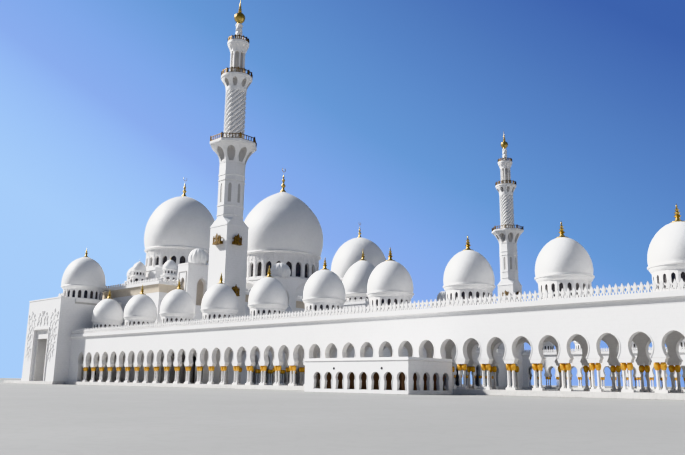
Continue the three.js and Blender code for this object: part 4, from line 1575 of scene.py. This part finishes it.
@dataclass
class DomeBase(Roofed):
    """The square or octagonal base under a great dome."""

    x: float
    half: float
    top: float
    square: bool
    foot: float = 28.2
    recess: float = 1.2

    def shape(self) -> None:
        """Adds the base's forms."""
        if self.square:
            self._square()
        else:
            self._octagon()

    def _square(self) -> None:
        """A block with a blind arch in each face and a ledge on top."""
        core = self.half - self.recess
        arch = plain_arch(self.foot, 31.0, 8.0, 37.0, 14, 0.2)
        self.put(Form().block(-core, core, HALL_Y - core, HALL_Y + core, self.foot, self.top - 0.2), MARBLE)
        for facing in Facing:
            reach, middle, other = (self.half, HALL_Y, self.x) if facing.across else (core, self.x, HALL_Y)
            plane = Plane(facing, middle + facing.sign * self.half)
            face = Form().prism(pierced(arch, (-reach, reach), self.foot, self.top), 0, self.recess)
            for form, finish in ((face, MARBLE), (arch.rim(0.7, -0.18, 0.0), CARVED)):
                self.on(plane, form, finish, plane.along(other))
        reach = self.half + 0.3
        self.put(Form().block(-reach, reach, HALL_Y - reach, HALL_Y + reach, self.top - 0.7, self.top - 0.02), CARVED)

    def _octagon(self) -> None:
        """An eight-sided block with a ledge."""
        half, ledge = self.half, self.half + 0.25
        form = eight_sided([(0, self.foot), (half, self.foot), (half, self.top - 1.0), (ledge, self.top - 0.8),
                            (ledge, self.top - 0.1), (half, self.top), (0, self.top)])
        self.put(form, MARBLE, (self.x, HALL_Y, 0))


@dataclass
class GreatDome(Domed):
    """A great dome with its windowed drum and finial."""

    form: DomeForm
    x: float

    def shape(self) -> None:
        """Adds the dome's forms."""
        self.domes(self.form, [(self.x, HALL_Y)])
        out, foot = self.form.radius + 0.35, self.form.foot
        ledge = Form().lathe([(out - 1, foot - 0.02), (out, foot), (out, foot + 0.4), (out - 0.5, foot + 0.5)], 72)
        self.put(ledge, CARVED, (self.x, HALL_Y, 0))


@dataclass
class RoofTower(Domed):
    """A tower on the arcade roof, with a niche in front and at each side, and a ribbed onion dome."""

    x: float
    dome: DomeForm
    front: float = 167.4
    half: float = 4.9
    foot: float = ROOF_CLEAR
    top: float = 34.2
    recess: float = 1.4
    cheek: float = 0.5
    sill: float = 22.4
    frame_half: float = 1.7
    frame_top: float = 31.7
    frame_width: float = 0.2

    def shape(self) -> None:
        """Adds the tower's forms."""
        depth = HALL_FRONT_Y - ROOF_SEAM - self.front
        h = self.half
        at = (self.x, self.front, 0)
        niche = plain_arch(self.sill, 27.8, 1.65, 30.3, 8, 0.3)
        body = Form().prism(pierced(niche, (-h, h), self.sill, self.top), 0, self.recess)
        body.block(-h, h, 0, self.recess, self.foot, self.sill)
        body.block(self.cheek - h, h - self.cheek, self.recess, depth, self.foot, self.top)
        # The back plate's darker colour is painted shade in the deep niche.
        back = Form().block(-1.8, 1.8, self.recess - 0.05, self.recess + 0.02, self.sill, 30.4)
        for form, finish in ((body, MARBLE), (niche.rim(0.35, -0.08, 0.0), CARVED), (back, DEEP_SHADE)):
            self.put(form, finish, at)
        self._sides(depth)
        band = Form().block(-h - 0.08, h + 0.08, -0.08, depth, self.top - 0.5, self.top + 0.02)
        self.put(band, CARVED, at)
        self.domes(self.dome, [(self.x, self.front + depth / 2)])

    def _sides(self, depth: float) -> None:
        """The side faces, each with a narrow niche in a thin frame.

        Args:
            depth: How deep the tower is.
        """
        low = self.sill
        niche = plain_arch(low, 28.2, 1.2, 30.2, 6, 0.3)
        # The back plate's darker colour is painted shade in the niche.
        back = Form().block(-1.3, 1.3, self.cheek - 0.05, self.cheek + 0.02, low, 30.3)
        inner, outer = (doorway(self.frame_half + wide, low - 1, self.frame_top + wide)
                        for wide in (0.0, self.frame_width))
        # The frame's darker colour paints the thin shadow lines round the niche.
        frame_round = Form().strip(inner, outer, -0.14, 0.0)
        for facing in (Facing.LEFT, Facing.RIGHT):
            plane = Plane(facing, self.x + facing.sign * self.half)
            ends = plane.span(self.recess - depth / 2, depth / 2)
            wall = Form().prism(pierced(niche, ends, low, self.top), 0, self.cheek)
            wall.block(*ends, 0, self.cheek, self.foot, low)
            for form, finish in ((wall, MARBLE), (back, DEEP_SHADE), (frame_round, SHADE_STONE)):
                self.on(plane, form, finish, plane.along(self.front + depth / 2))


@dataclass
class Entrance(Domed):
    """The raised block with a dome over the hall's entrance."""

    y: float = 160.2
    half: float = 10.0

    def shape(self) -> None:
        """Adds the block's forms."""
        h = self.half - ENTRANCE_EDGE.eaves
        self.put(Form().block(-h, h, self.y - h, self.y + h, ROOF_CLEAR, ENTRANCE_EDGE.roof), MARBLE)
        self.edges(h, self.y - h, self.y + h, ENTRANCE_EDGE)
        self.domes(ENTRANCE_DOME, [(0.0, self.y)])


@dataclass(frozen=True)
class FlareForm:
    """The flare under a balcony, with a pointed niche sunk into the middle of each of eight sides."""

    outline: tuple[tuple[float, float], ...]
    low: float
    high: float
    eight: bool
    share: float = 0.68
    depth: float = 0.3

    def body(self) -> Form:
        """The flare from its foot to the balcony's floor."""
        heights = [z for _, z in self.outline if not self.low < z < self.high]
        return Form().skin([self._ring(z) for z in sorted({*heights, *self._rows()})])

    def lining(self) -> Form:
        """The darker layer on the niches' backs, painted shade in the hollows.

        Returns:
            A thin layer in each niche.
        """
        form = Form()
        rings = [self._ring(height) for height in self._rows()]
        for first in range(2, 96, 12):
            form.skin([[(x * grow, y * grow, z) for grow, way in ((1.006, 1), (0.994, -1))
                        for x, y, z in ring[first:first + 9][::way]] for ring in rings])
        return form

    def _rows(self) -> list[float]:
        """The heights of the niches' points."""
        return [self.low + (self.high - self.low) * i / 14 for i in range(15)]

    def _radius(self, height: float) -> float:
        """The flare's radius at a height, between its outline's points.

        Args:
            height: From the ground.

        Returns:
            The radius.
        """
        for (r0, z0), (r1, z1) in zip(self.outline, self.outline[1:]):
            if height <= z1:
                return r0 + (r1 - r0) * (height - z0) / (z1 - z0)
        return self.outline[-1][0]

    def _ring(self, height: float) -> list[Point]:
        """The 96 points of one height, twelve to a side, closer together across its niche.

        Args:
            height: From the ground.

        Returns:
            The points, side by side.
        """
        rise = (height - self.low) / (self.high - self.low)
        inside = 0 < rise < 0.999
        narrowing = max(0.0, rise - 0.5) / 0.5
        foot = min(1.0, 0.6 + 0.4 * max(0.0, rise) / 0.35)
        wide = self.share * foot * max(0.06, (1 - narrowing ** 2) ** 0.5 if rise < 0.999 else 0.0)
        stops = [-1.0, -(1 + wide) / 2, *(wide * i / 4 for i in range(-4, 5)), (1 + wide) / 2]
        points = []
        for side in range(8):
            for stop in stops:
                angle = OCTAGON * (side + stop / 2)
                r = self._radius(height) * (octagonal(angle) if self.eight else 1.0)
                if inside:
                    r *= 1 - self.depth * rise ** 0.7 * max(0.0, 1 - (stop / wide) ** 2) ** 0.45
                points.append((r * math.cos(angle), r * math.sin(angle), height))
        return points


LOWER_FLARE = FlareForm(
    ((3.25, 57.0), (3.25, 57.1), (3.26, 57.2), (3.28, 57.4), (3.3, 57.5), (3.4, 58.2), (3.55, 58.7), (3.75, 59.2),
     (3.98, 59.7), (4.25, 60.2), (4.55, 60.7), (4.9, 61.15), (5.25, 61.55), (5.6, 61.85), (5.6, 62.0), (5.9, 62.15),
     (5.95, 62.4), (5.95, LOW_BALCONY)), 57.55, 61.2, True)
MIDDLE_FLARE = FlareForm(
    ((2.7, 77.5), (2.75, 77.6), (2.8, 78.1), (2.86, 78.7), (2.98, 79.2), (3.2, 79.7), (3.5, 80.2), (3.8, 80.7),
     (4.0, 81.1), (4.0, 81.25), (4.2, 81.35), (4.25, 81.55), (4.25, MIDDLE_BALCONY)), 78.6, 80.75, False, 0.5)
UPPER_FLARE = FlareForm(
    ((2.05, 89.1), (2.12, 89.5), (2.3, 90.0), (2.52, 90.5), (2.75, 91.0), (2.82, 91.2), (2.82, 91.32), (2.95, 91.4),
     (2.98, 91.6), (2.98, TOP_BALCONY)), 89.2, 90.9, False, 0.5, 0.12)


@dataclass
class Minaret(Assembly):
    """A minaret: square base, octagon, round shaft and open lantern, each over a railed balcony."""

    x: float
    y: float
    base: float = 3.45
    base_top: float = 40.5
    octagon: float = 3.25
    octagon_from: float = 42.4
    octagon_top: float = 57.1
    course_out: float = 0.14
    lantern: float = 1.9
    rail_in: float = 0.08
    high_window: float = 36.5
    low_window: float = 23.5
    box_out: float = 0.95

    @property
    def at(self) -> Point:
        """The foot of its axis."""
        return self.x, self.y, 0

    def shape(self) -> None:
        """Adds the minaret's forms."""
        # The flares' niche linings and the core in the shaft's grooves are painted shade.
        for form, finish in ((self._base(), MARBLE), (self._octagon(), MARBLE), (self._shaft(), PLASTER),
                             (self._finial(), FINIAL), (LOWER_FLARE.body(), MARBLE), (MIDDLE_FLARE.body(), MARBLE),
                             (UPPER_FLARE.body(), MARBLE), (LOWER_FLARE.lining(), SHADE_STONE),
                             (MIDDLE_FLARE.lining(), SHADE_STONE), (self._grooves(), SHADE_STONE)):
            self.put(form, finish, self.at)
        self._panels()
        self._lantern()
        self._rail(5.95, LOW_BALCONY, 1.6, 8, 6)
        self._rail(4.25, MIDDLE_BALCONY, 1.5, 16, 2)
        self._rail(2.98, TOP_BALCONY, 1.3, 16, 1)
        self._window_boxes()

    def _base(self) -> Form:
        """The square base and the sloped corners over it.

        Returns:
            The base.
        """
        b, o = self.base, self.octagon
        ledge, corner = b + 0.1, o * math.tan(OCTAGON / 2)
        form = Form().block(-b, b, -b, b, 0, self.base_top - 0.3)
        form.block(-ledge, ledge, -ledge, ledge, self.base_top - 0.35, self.base_top)
        points = [(x, y, self.base_top) for x, y in ((b, -b), (b, b), (-b, b), (-b, -b))]
        points += [(x, y, self.octagon_from) for x, y in (
            (o, -corner), (o, corner), (corner, o), (-corner, o), (-o, corner), (-o, -corner), (-corner, -o),
            (corner, -o))]
        faces = []
        for i in range(4):
            j = (i + 1) % 4
            faces += [(i, j, 4 + 2 * i + 1, 4 + 2 * i), (j, 4 + (2 * i + 2) % 8, 4 + 2 * i + 1)]
        return form.add(points, [*faces, (3, 2, 1, 0), tuple(range(4, 12))])

    def _octagon(self) -> Form:
        """The eight-sided shaft with its string courses, up to the lower balcony.

        Returns:
            The octagon.
        """
        o, sunk = self.octagon, self.octagon - self.course_out
        return eight_sided([
            (0, self.octagon_from), (o, self.octagon_from), *self._courses(43.2, 45.7), (sunk, 45.9), (sunk, 52.2),
            *self._courses(52.5, 53.9), (o, self.octagon_top), (0, self.octagon_top)])

    def _courses(self, *heights: float) -> Outline:
        """The profile of string courses round the octagon."""
        o, out = self.octagon, self.octagon + self.course_out
        return [point for z in heights for point in ((o, z - 0.15), (out, z - 0.1), (out, z + 0.1), (o, z + 0.15))]

    def _shaft(self) -> Form:
        """The round shaft with its slanting ribs, the upper balconies and the twisted stem.

        Returns:
            The shaft and the stem.
        """
        form = Form().lathe([(0, LOW_BALCONY), (3.0, LOW_BALCONY), (3.0, 63.4), (2.86, 63.6), (2.86, 64.0), (2.7, 64.1),
                             (0, 64.1)], 48)
        shaft = [(2.72, 64.0 + 0.137 * i) for i in range(100)]
        form.lathe([(0, 64.0), *shaft, (0, 77.7)], 120, ribs=Ribs(0.86, 0.165, 6, 2.34))
        stem = [(0.84 + 0.08 * math.sin(1.26 * i), TOP_BALCONY + 0.25 * i) for i in range(24)]
        return form.lathe([(0, TOP_BALCONY), *stem, (0, 97.9)], 32, ribs=Ribs(1.0, 0.13, 4, 3.2, sharp=False))

    def _grooves(self) -> Form:
        """A darker core that shows at the bottom of the grooves between the shaft's ribs, as painted shade in the
        grooves.
        """
        return Form().lathe([(0, 64.2), (2.47, 64.2), (2.47, 77.5), (0, 77.5)], 120)

    def _finial(self) -> Form:
        """The gold ball and spire.

        Returns:
            The finial.
        """
        return Form().lathe([
            (0, 97.7), (0.7, 97.8), (0.62, 98.2), (0.9, 98.55), (1.33, 99.05), (1.52, 99.75), (1.42, 100.4),
            (1.05, 100.9), (0.55, 101.2), (0.42, 101.45), (0.55, 101.75), (0.36, 102.05), (0.45, 102.4),
            (0.26, 102.8), (0.34, 103.15), (0.18, 103.55), (0.22, 103.9), (0.1, 104.3), (0.07, 105.4), (0, 106.65)], 24)

    def _panels(self) -> None:
        """A blind slit in each face of the octagon."""
        half = self.octagon * math.tan(OCTAGON / 2)
        slit = plain_arch(46.5, 50.8, 0.42, 51.7)
        form = Form().prism(pierced(slit, (-half, half), slit.foot, 52.2), 0, 0.3, open_at=half)
        form.block(-half, half, 0, 0.3, 45.8, slit.foot)
        # The darker back in each slit is painted shade.
        back = Form().block(-slit.wide_half, slit.wide_half, 0.1, 0.16, slit.foot, slit.top - 0.1)
        self.ring(form, MARBLE, 8, self.octagon, self.at)
        self.ring(back, SHADE_STONE, 8, self.octagon, self.at)

    def _lantern(self) -> None:
        """The open lantern of slim piers with pointed arches."""
        thick = 0.4
        half = self.lantern * math.tan(OCTAGON / 2)
        arch = plain_arch(82.1, 88.2, 0.55, 89.2)
        form = Form().prism(pierced(arch, (-half, half), arch.foot, 89.3), 0, thick, open_at=half)
        self.ring(form.block(-half, half, 0, thick, MIDDLE_BALCONY, arch.foot), CARVED, 8, self.lantern, self.at)
        # The core's darker colour is painted shade inside the open lantern.
        core = Form().lathe([(0, MIDDLE_BALCONY), (1.35, MIDDLE_BALCONY), (1.35, 89.4), (0, 89.4)], 16)
        self.put(core, SHADE_STONE, self.at)

    def _rail(self, reach: float, floor: float, tall: float, sides: int, posts: int) -> None:
        """A balcony's rail of bronze.

        Args:
            reach: The balcony's radius to the middle of a side.
            floor: Height of its floor.
            tall: How far the posts at the corners rise over it.
            sides: How many sides the rail has.
            posts: Bars in each side.
        """
        out, top = reach - self.rail_in, floor + tall
        half = out * math.tan(math.pi / sides)
        bars = Form()
        for low in (floor, top - 0.42):
            bars.block(-half, half, 0.02, 0.2, low, low + 0.16)
        for i in range(posts):
            along = -half + (2 * i + 1) * half / posts
            bars.block(along - 0.1, along + 0.1, 0.05, 0.17, floor + 0.1, top - 0.34)
            bars.prism([(along - 0.16, floor + 0.85), (along, floor + 0.5), (along + 0.16, floor + 0.85)], 0.08, 0.14)
        corner = Form().block(-0.14, 0.14, 0.0, 0.28, floor, top - 0.2)
        ball = Form().lathe([(0, top - 0.22), (0.17, top - 0.16), (0.19, top - 0.08), (0.08, top), (0, top + 0.12)], 8)
        corner.join(ball, (0, 0.14, 0))
        self.ring(bars, BRONZE, sides, out, self.at)
        self.ring(corner, BRONZE, sides, out / math.cos(math.pi / sides), self.at, math.pi / sides)

    def _window_boxes(self) -> None:
        """Bracketed window boxes of gilded bronze on the faces of the base."""
        high, low = self.high_window, self.low_window
        for facing in Facing:
            if facing.across:
                place, other, shift, boxes = self.y, self.x, 0.45, ((high, 1.15), (low, 1.1))
            else:
                place, other, shift, boxes = self.x, self.y, -0.55, ((high, 1.45),)
            plane = Plane(facing, place + facing.sign * self.base)
            for level, half in boxes:
                for form, finish in ((self._box(level, half), BRONZE), (self._dark(level), GLASS)):
                    self.on(plane, form, finish, plane.along(other) + facing.sign * shift)

    def _box(self, level: float, half: float) -> Form:
        """One window box: a ledge, a low panel, posts and a crown whose middle point is the tallest.

        Args:
            level: Height of the window's middle.
            half: Half its width.

        Returns:
            The box.
        """
        out = self.box_out
        form = Form().block(-half - 0.12, half + 0.12, -out - 0.1, 0.05, level - 1.2, level - 1.0)
        form.prism([(-half, level - 1.0), (half, level - 1.0), (half, level - 0.45), (0.55 * half, level - 0.62),
                    (0, level - 0.4), (-0.55 * half, level - 0.62), (-half, level - 0.45)], -out, -out + 0.1)
        for side in (-1, 1):
            for low, high in ((-1.0, -0.5), (0.25, 0.4)):
                form.block(side * half, side * (half - 0.1), -out, 0.0, level + low, level + high)
        form.block(-half, half, -out, -out + 0.1, level + 0.25, level + 0.4)
        for share, wide in ((-1.0, 0.17), (-0.5, 0.07), (0.0, 0.26), (0.5, 0.07), (1.0, 0.17)):
            along = share * (half - wide)
            tall = level + (1.1 if share == 0.0 else 0.45)
            form.block(along - wide, along + wide, -out - 0.02, -out + 0.16, level - 1.0, tall - 0.25)
            reach = wide + 0.08
            form.prism([(along - reach, tall - 0.25), (along + reach, tall - 0.25), (along + 0.9 * reach, tall),
                        (along + 0.1, tall + 0.25), (along, tall + 0.6), (along - 0.1, tall + 0.25),
                        (along - 0.9 * reach, tall)], -out, -out + 0.14)
        return form

    def _dark(self, level: float) -> Form:
        """The dark opening behind a window box."""
        return Form().prism(plain_arch(level - 1.0, level + 0.4, 0.7, level + 1.2).whole(), -0.04, 0.05)


@dataclass
class LowWing(Roofed):
    """A low wing before a side arcade, with small arches and round vents."""

    side: Side
    outer: float = 98.7
    start: float = 64.3
    end: float = 85.8
    top: float = 5.35
    wall: float = 0.5
    floor: float = 0.55
    pitch: float = 2.47
    first: float = 1.3
    gap: float = 0.81
    eaves: float = 0.5
    screen_in: float = 1.6
    screen_back: float = 1.7
    screen_thick: float = 0.1
    vent_height: float = 3.72
    vent_radius: float = 0.2

    def shape(self) -> None:
        """Adds the wing's forms."""
        s = self.side.value
        inner = OUTER_X + self.gap
        arch = ArchForm(self.floor, 1.85, 0.66, 2.38, 0.82, 3.22, foot_half=0.78, steps=7, point=0.1)
        face = Plane(outward(self.side), s * self.outer)
        start, end, top, wall = self.start, self.end, self.top, self.wall
        middles = [start + self.first + self.pitch * i for i in range(8)]
        self._wall(face, face.span(start, end), sorted(map(face.along, middles)), arch)
        centre, room = s * (self.outer + inner) / 2, s * (self.outer - wall)
        front, back = Plane(Facing.FRONT, start), Plane(Facing.BACK, end)
        places = [centre + self.pitch * (i - 1.5) for i in range(4)]
        self._wall(front, front.span(room, s * inner), places, arch)
        self._wall(back, back.span(room, s * inner), [], arch)
        vent = [(self.vent_radius * math.cos(a), self.vent_height + self.vent_radius * math.sin(a))
                for a in (math.pi / 6 * i for i in range(12))]
        for number in (1.5, 5.5):
            place = face.along(start + self.first + self.pitch * number)
            self.on(face, Form().prism(vent, -0.03, 0.02), GLASS, place)
        screen, eaves = s * (self.outer - self.screen_back), top - self.eaves
        near, far, thick = start + self.screen_in, end - self.screen_in, self.screen_thick
        # The screens' dark brown is painted shade inside the wing.
        for box, finish in (((screen, screen - s * thick, near, far, self.floor, eaves), INTERIOR_SHADE),
                            ((s * inner, room, near, near + thick, self.floor, eaves), INTERIOR_SHADE),
                            ((s * inner, room, start + wall, end - wall, 0, self.floor), PAVING),
                            ((s * inner, room, start + wall, end - wall, eaves, eaves + 0.2), MARBLE)):
            self.put(Form().block(*box), finish)
        band = [(-0.1, top - 0.55), (0.02, top - 0.55), (0.12, top - 0.45), (0.12, top - 0.32), (0.02, top - 0.28),
                (-0.1, top - 0.28)]
        self.on(face, Form().run(band, end - start, (1, 1)), CARVED, face.along((start + end) / 2))
        self.on(front, Form().run(band, self.outer - inner), CARVED, centre)

    def _wall(self, plane: Plane, ends: list[float], middles: list[float], arch: ArchForm) -> None:
        """One wall with arches and the rims round them.

        Args:
            plane: Its outer face.
            ends: Both ends, along the plane.
            middles: The arches' middles, along the plane.
            arch: The arches' shape.
        """
        form = Form().prism(pierced(arch, ends, self.floor, self.top, middles), 0, self.wall)
        self.on(plane, form.block(*ends, 0, self.wall, 0, self.floor), MARBLE)
        for middle in middles:
            self.on(plane, arch.rim(0.12, -0.05, 0.0), CARVED, middle)


@dataclass
class HallBack(Assembly):
    """The hall's back wall with its tall arched windows."""

    places: tuple[float, ...] = (-58.0, -40.0, -22.0, 22.0, 40.0, 58.0)
    thick: float = 1.5
    sill: float = 3.0
    top: float = 27.3

    def shape(self) -> None:
        """Adds the wall's forms."""
        plane = Plane(Facing.BACK, HALL_BACK_Y)
        reach = COURT_X - WALL - WALL_SEAM
        arch = ArchForm(self.sill, 5.2, 1.2, 6.6, 1.64, 8.67, foot_half=1.25, steps=9)
        form = Form().prism(pierced(arch, (-reach, reach), self.sill, self.top, self.places), 0, self.thick)
        self.on(plane, form.block(-reach, reach, 0, self.thick, FLOOR_TOP, self.sill), MARBLE)
        glass = Form().block(-1.9, 1.9, 0.9, 1.0, self.sill - 0.1, 8.9)
        bars = Form()
        for along in (-0.55, 0.0, 0.55):
            bars.block(along - 0.05, along + 0.05, 0.8, 0.9, self.sill, 8.6)
        for middle in self.places:
            for part, finish in ((arch.rim(0.34, -0.07, 0.0), CARVED), (glass, GLASS), (bars, BRONZE)):
                self.on(plane, part, finish, middle)


@dataclass
class Studio:
    """The floor, the light and the camera."""

    eye: Point = (-18.17, -11.81, 0.16)
    heading: float = 46.88
    rise: float = 12.32
    roll: float = 0.775
    focal: float = 36 * 708.1 / 685
    sun_from: Point = (-0.36, 0.71, 0.605)
    sun_strength: float = 6.1
    sun_size: float = 2.5
    sun_colour: tuple[float, float, float] = (1.0, 0.985, 0.955)
    fill: tuple[float, float, float] = (0.56, 0.69, 0.96)
    fill_strength: float = 0.28
    deeper_towards: Point = (0.389, -0.416, 1.0)
    backdrop: tuple[tuple[float, tuple[float, float, float]], ...] = (
        (0.0, (0.62, 1.1, 1.84)), (0.18, (0.31, 0.5, 1.0)), (0.36, (0.173, 0.354, 0.72)),
        (0.66, (0.085, 0.162, 0.457)))

    def build(self) -> None:
        """Sets all three up."""
        self._floor()
        self._light()
        self._camera()

    def _floor(self) -> None:
        """A wide pale floor just under the model."""
        mesh = Form().block(-900, 900, -900, 900, -0.3, -0.002).mesh("floor")
        mesh.materials.append(STUDIO_FLOOR.material())
        floor = bpy.data.objects.new("floor", mesh)
        bpy.context.scene.collection.objects.link(floor)

    def _light(self) -> None:
        """A soft sun from the left behind, and a pale even sky."""
        lamp = bpy.data.lights.new("key", "SUN")
        lamp.energy = self.sun_strength
        lamp.angle = math.radians(self.sun_size)
        lamp.color = self.sun_colour
        key = bpy.data.objects.new("key", lamp)
        key.rotation_euler = Vector(self.sun_from).to_track_quat("Z", "Y").to_euler()
        bpy.context.scene.collection.objects.link(key)
        world = bpy.context.scene.world or bpy.data.worlds.new("sky")
        bpy.context.scene.world = world
        world.use_nodes = True
        tree = world.node_tree
        soft = tree.nodes["Background"]
        soft.inputs["Color"].default_value = (*self.fill, 1.0)
        soft.inputs["Strength"].default_value = self.fill_strength
        look, lean, ramp, seen, ray, mix = (tree.nodes.new(f"ShaderNode{kind}") for kind in (
            "TexCoord", "VectorMath", "ValToRGB", "Background", "LightPath", "MixShader"))
        lean.operation = "DOT_PRODUCT"
        lean.inputs[1].default_value = self.deeper_towards
        stops = ramp.color_ramp.elements
        for _ in self.backdrop[2:]:
            stops.new(0.5)
        for stop, (place, colour) in zip(stops, self.backdrop):
            stop.position = place
            stop.color = (*colour, 1.0)
        for source, target in ((look.outputs["Generated"], lean.inputs[0]), (lean.outputs["Value"], ramp.inputs[0]),
                               (ramp.outputs[0], seen.inputs["Color"]), (ray.outputs["Is Camera Ray"], mix.inputs[0]),
                               (soft.outputs[0], mix.inputs[1]), (seen.outputs[0], mix.inputs[2]),
                               (mix.outputs[0], tree.nodes["World Output"].inputs["Surface"])):
            tree.links.new(source, target)
        bpy.context.scene.view_settings.view_transform = "Khronos PBR Neutral"

    def _camera(self) -> None:
        """The camera at the photograph's angle."""
        turn, pitch, tilt = (math.radians(v) for v in (self.heading, self.rise, self.roll))
        ahead = Vector((math.sin(turn) * math.cos(pitch), math.cos(turn) * math.cos(pitch), math.sin(pitch)))
        level = Vector((math.cos(turn), -math.sin(turn), 0))
        right = level * math.cos(tilt) + level.cross(ahead) * math.sin(tilt)
        up = right.cross(ahead)
        lens = bpy.data.cameras.new("camera")
        lens.sensor_width = 36
        lens.lens = self.focal
        lens.clip_end = 500
        camera = bpy.data.objects.new("camera", lens)
        columns = Matrix((right, up, -ahead)).transposed().to_4x4()
        camera.matrix_world = Matrix.Translation(self.eye) @ columns
        bpy.context.scene.collection.objects.link(camera)
        bpy.context.scene.camera = camera


def dress(nodes: Iterable[str], material: bpy.types.Material) -> None:
    """Gives solids that stay in view a material.

    Args:
        nodes: The solids' names.
        material: What their surface is made of.
    """
    for name in nodes:
        mesh = frame["nodes"][name].data
        mesh.materials.clear()
        mesh.materials.append(material)


def arcades(kit: Kit) -> None:
    """Builds the outer and the courtyard arcade walls.

    Args:
        kit: The materials and the layouts.
    """
    end = HALL_Y - PORTAL_HALF - WALL_SEAM
    for side, nodes in ((Side.LEFT, ("left_wall_bay", "left_wall")), (Side.RIGHT, ("right_wall",))):
        plane = Plane(outward(side), side.value * OUTER_X)
        Arcade(f"{side.word}_arcade", kit, plane, FRONT_Y, end, 13.9, 41).build(*nodes)
    front = Plane(Facing.FRONT, FRONT_Y)
    near, far = PORTAL_HALF + WALL_SEAM, OUTER_X - WALL - WALL_SEAM
    clear = (MINARET_FRONT_Y + MINARET_CLEAR, MINARET_REAR_Y - MINARET_CLEAR)
    for side in Side:
        s = side.value
        first = s * (near + 2.6) - (0 if side is Side.RIGHT else 15 * PITCH)
        wall = Arcade(f"front_arcade_{side.word}", kit, front, s * near, s * far, first, 16)
        wall.build(f"front_wall_{side.word}")
        court = Plane(inward(side), s * COURT_X)
        Arcade(f"{side.word}_court_arcade", kit, court, *clear, 29.45, 26).build(f"{side.word}_court_wall")
    reach = MINARET_X - MINARET_CLEAR
    for name, plane in (("front", Plane(Facing.BACK, COURT_FRONT_Y)), ("rear", Plane(Facing.FRONT, COURT_REAR_Y))):
        Arcade(f"{name}_court_arcade", kit, plane, -reach, reach, -14 * PITCH, 29).build(f"{name}_court_wall")


def roofs(kit: Kit) -> None:
    """Builds the arcade roofs, the hall's roof and what stands on them.

    Args:
        kit: The materials and the layouts.
    """
    for side in Side:
        SideRoof(f"{side.word}_side_roof", kit, side).build(f"{side.word}_roof")
    CrossRoof("front_cross_roof", kit, False).build("front_roof")
    CrossRoof("rear_cross_roof", kit, True).build("rear_roof")
    HallRoof("hall_top", kit).build("hall_roof", "hall_roof_left", "hall_roof_right")
    Entrance("entrance", kit).build("entrance_block")
    for side in Side:
        for place, x, dome in (("inner", 29.4, TOWER_DOME), ("outer", 61.7, SMALL_TOWER_DOME)):
            tower = RoofTower(f"{side.word}_{place}_roof_tower", kit, side.value * x, dome)
            tower.build(f"{side.word}_{place}_tower")


def great_domes(kit: Kit) -> None:
    """Builds the three great domes on their bases.

    Args:
        kit: The materials and the layouts.
    """
    DomeBase("centre_base", kit, 0.0, 17.0, 38.2, True).build("centre_dome_base")
    GreatDome("centre_great_dome", kit, CENTRE_DOME, 0.0).build("centre_drum", "centre_dome", "centre_dome_finial")
    for side in Side:
        x = side.value * SIDE_DOME_X
        DomeBase(f"{side.word}_base", kit, x, 12.4, 36.9, False).build(f"{side.word}_dome_base")
        nodes = [f"{side.word}_{part}" for part in ("drum", "dome", "dome_finial")]
        GreatDome(f"{side.word}_great_dome", kit, SIDE_DOME, x).build(*nodes)


def portals(kit: Kit) -> None:
    """Builds the three portals.

    Args:
        kit: The materials and the layouts.
    """
    depth = OUTER_X - COURT_X
    Portal("front_gate", kit, Plane(Facing.FRONT, FRONT_Y), depth - WALL).build("front_portal")
    for side in Side:
        plane = Plane(outward(side), side.value * OUTER_X)
        Portal(f"{side.word}_gate", kit, plane, depth, HALL_Y).build(f"{side.word}_portal")


def main() -> None:
    """Builds the looks, piece by piece, and notes the sizes."""
    logging.basicConfig(level=logging.INFO, format="%(name)s %(message)s")
    Studio().build()
    kit = Kit({finish.name: finish.material() for finish in FINISHES}, Layout())
    arcades(kit)
    roofs(kit)
    great_domes(kit)
    portals(kit)
    for end, y in (("front", MINARET_FRONT_Y), ("rear", MINARET_REAR_Y)):
        for side in Side:
            name = f"{end}_{side.word}_minaret"
            nodes = (f"{name}_{part}" for part in ("tower", "shaft", "finial"))
            Minaret(name, kit, side.value * MINARET_X, y).build(*nodes)
    for side in Side:
        LowWing(f"{side.word}_wing", kit, side).build(f"{side.word}_low_wing")
    HallBack("hall_back", kit).build("hall_back_wall")
    dress(("hall_left_wall", "hall_right_wall", "hall_front_wall"), kit.of(MARBLE))
    dress(("left_floor", "right_floor", "front_floor", "hall_floor"), kit.of(PAVING))


if __name__ == "__main__":
    main()
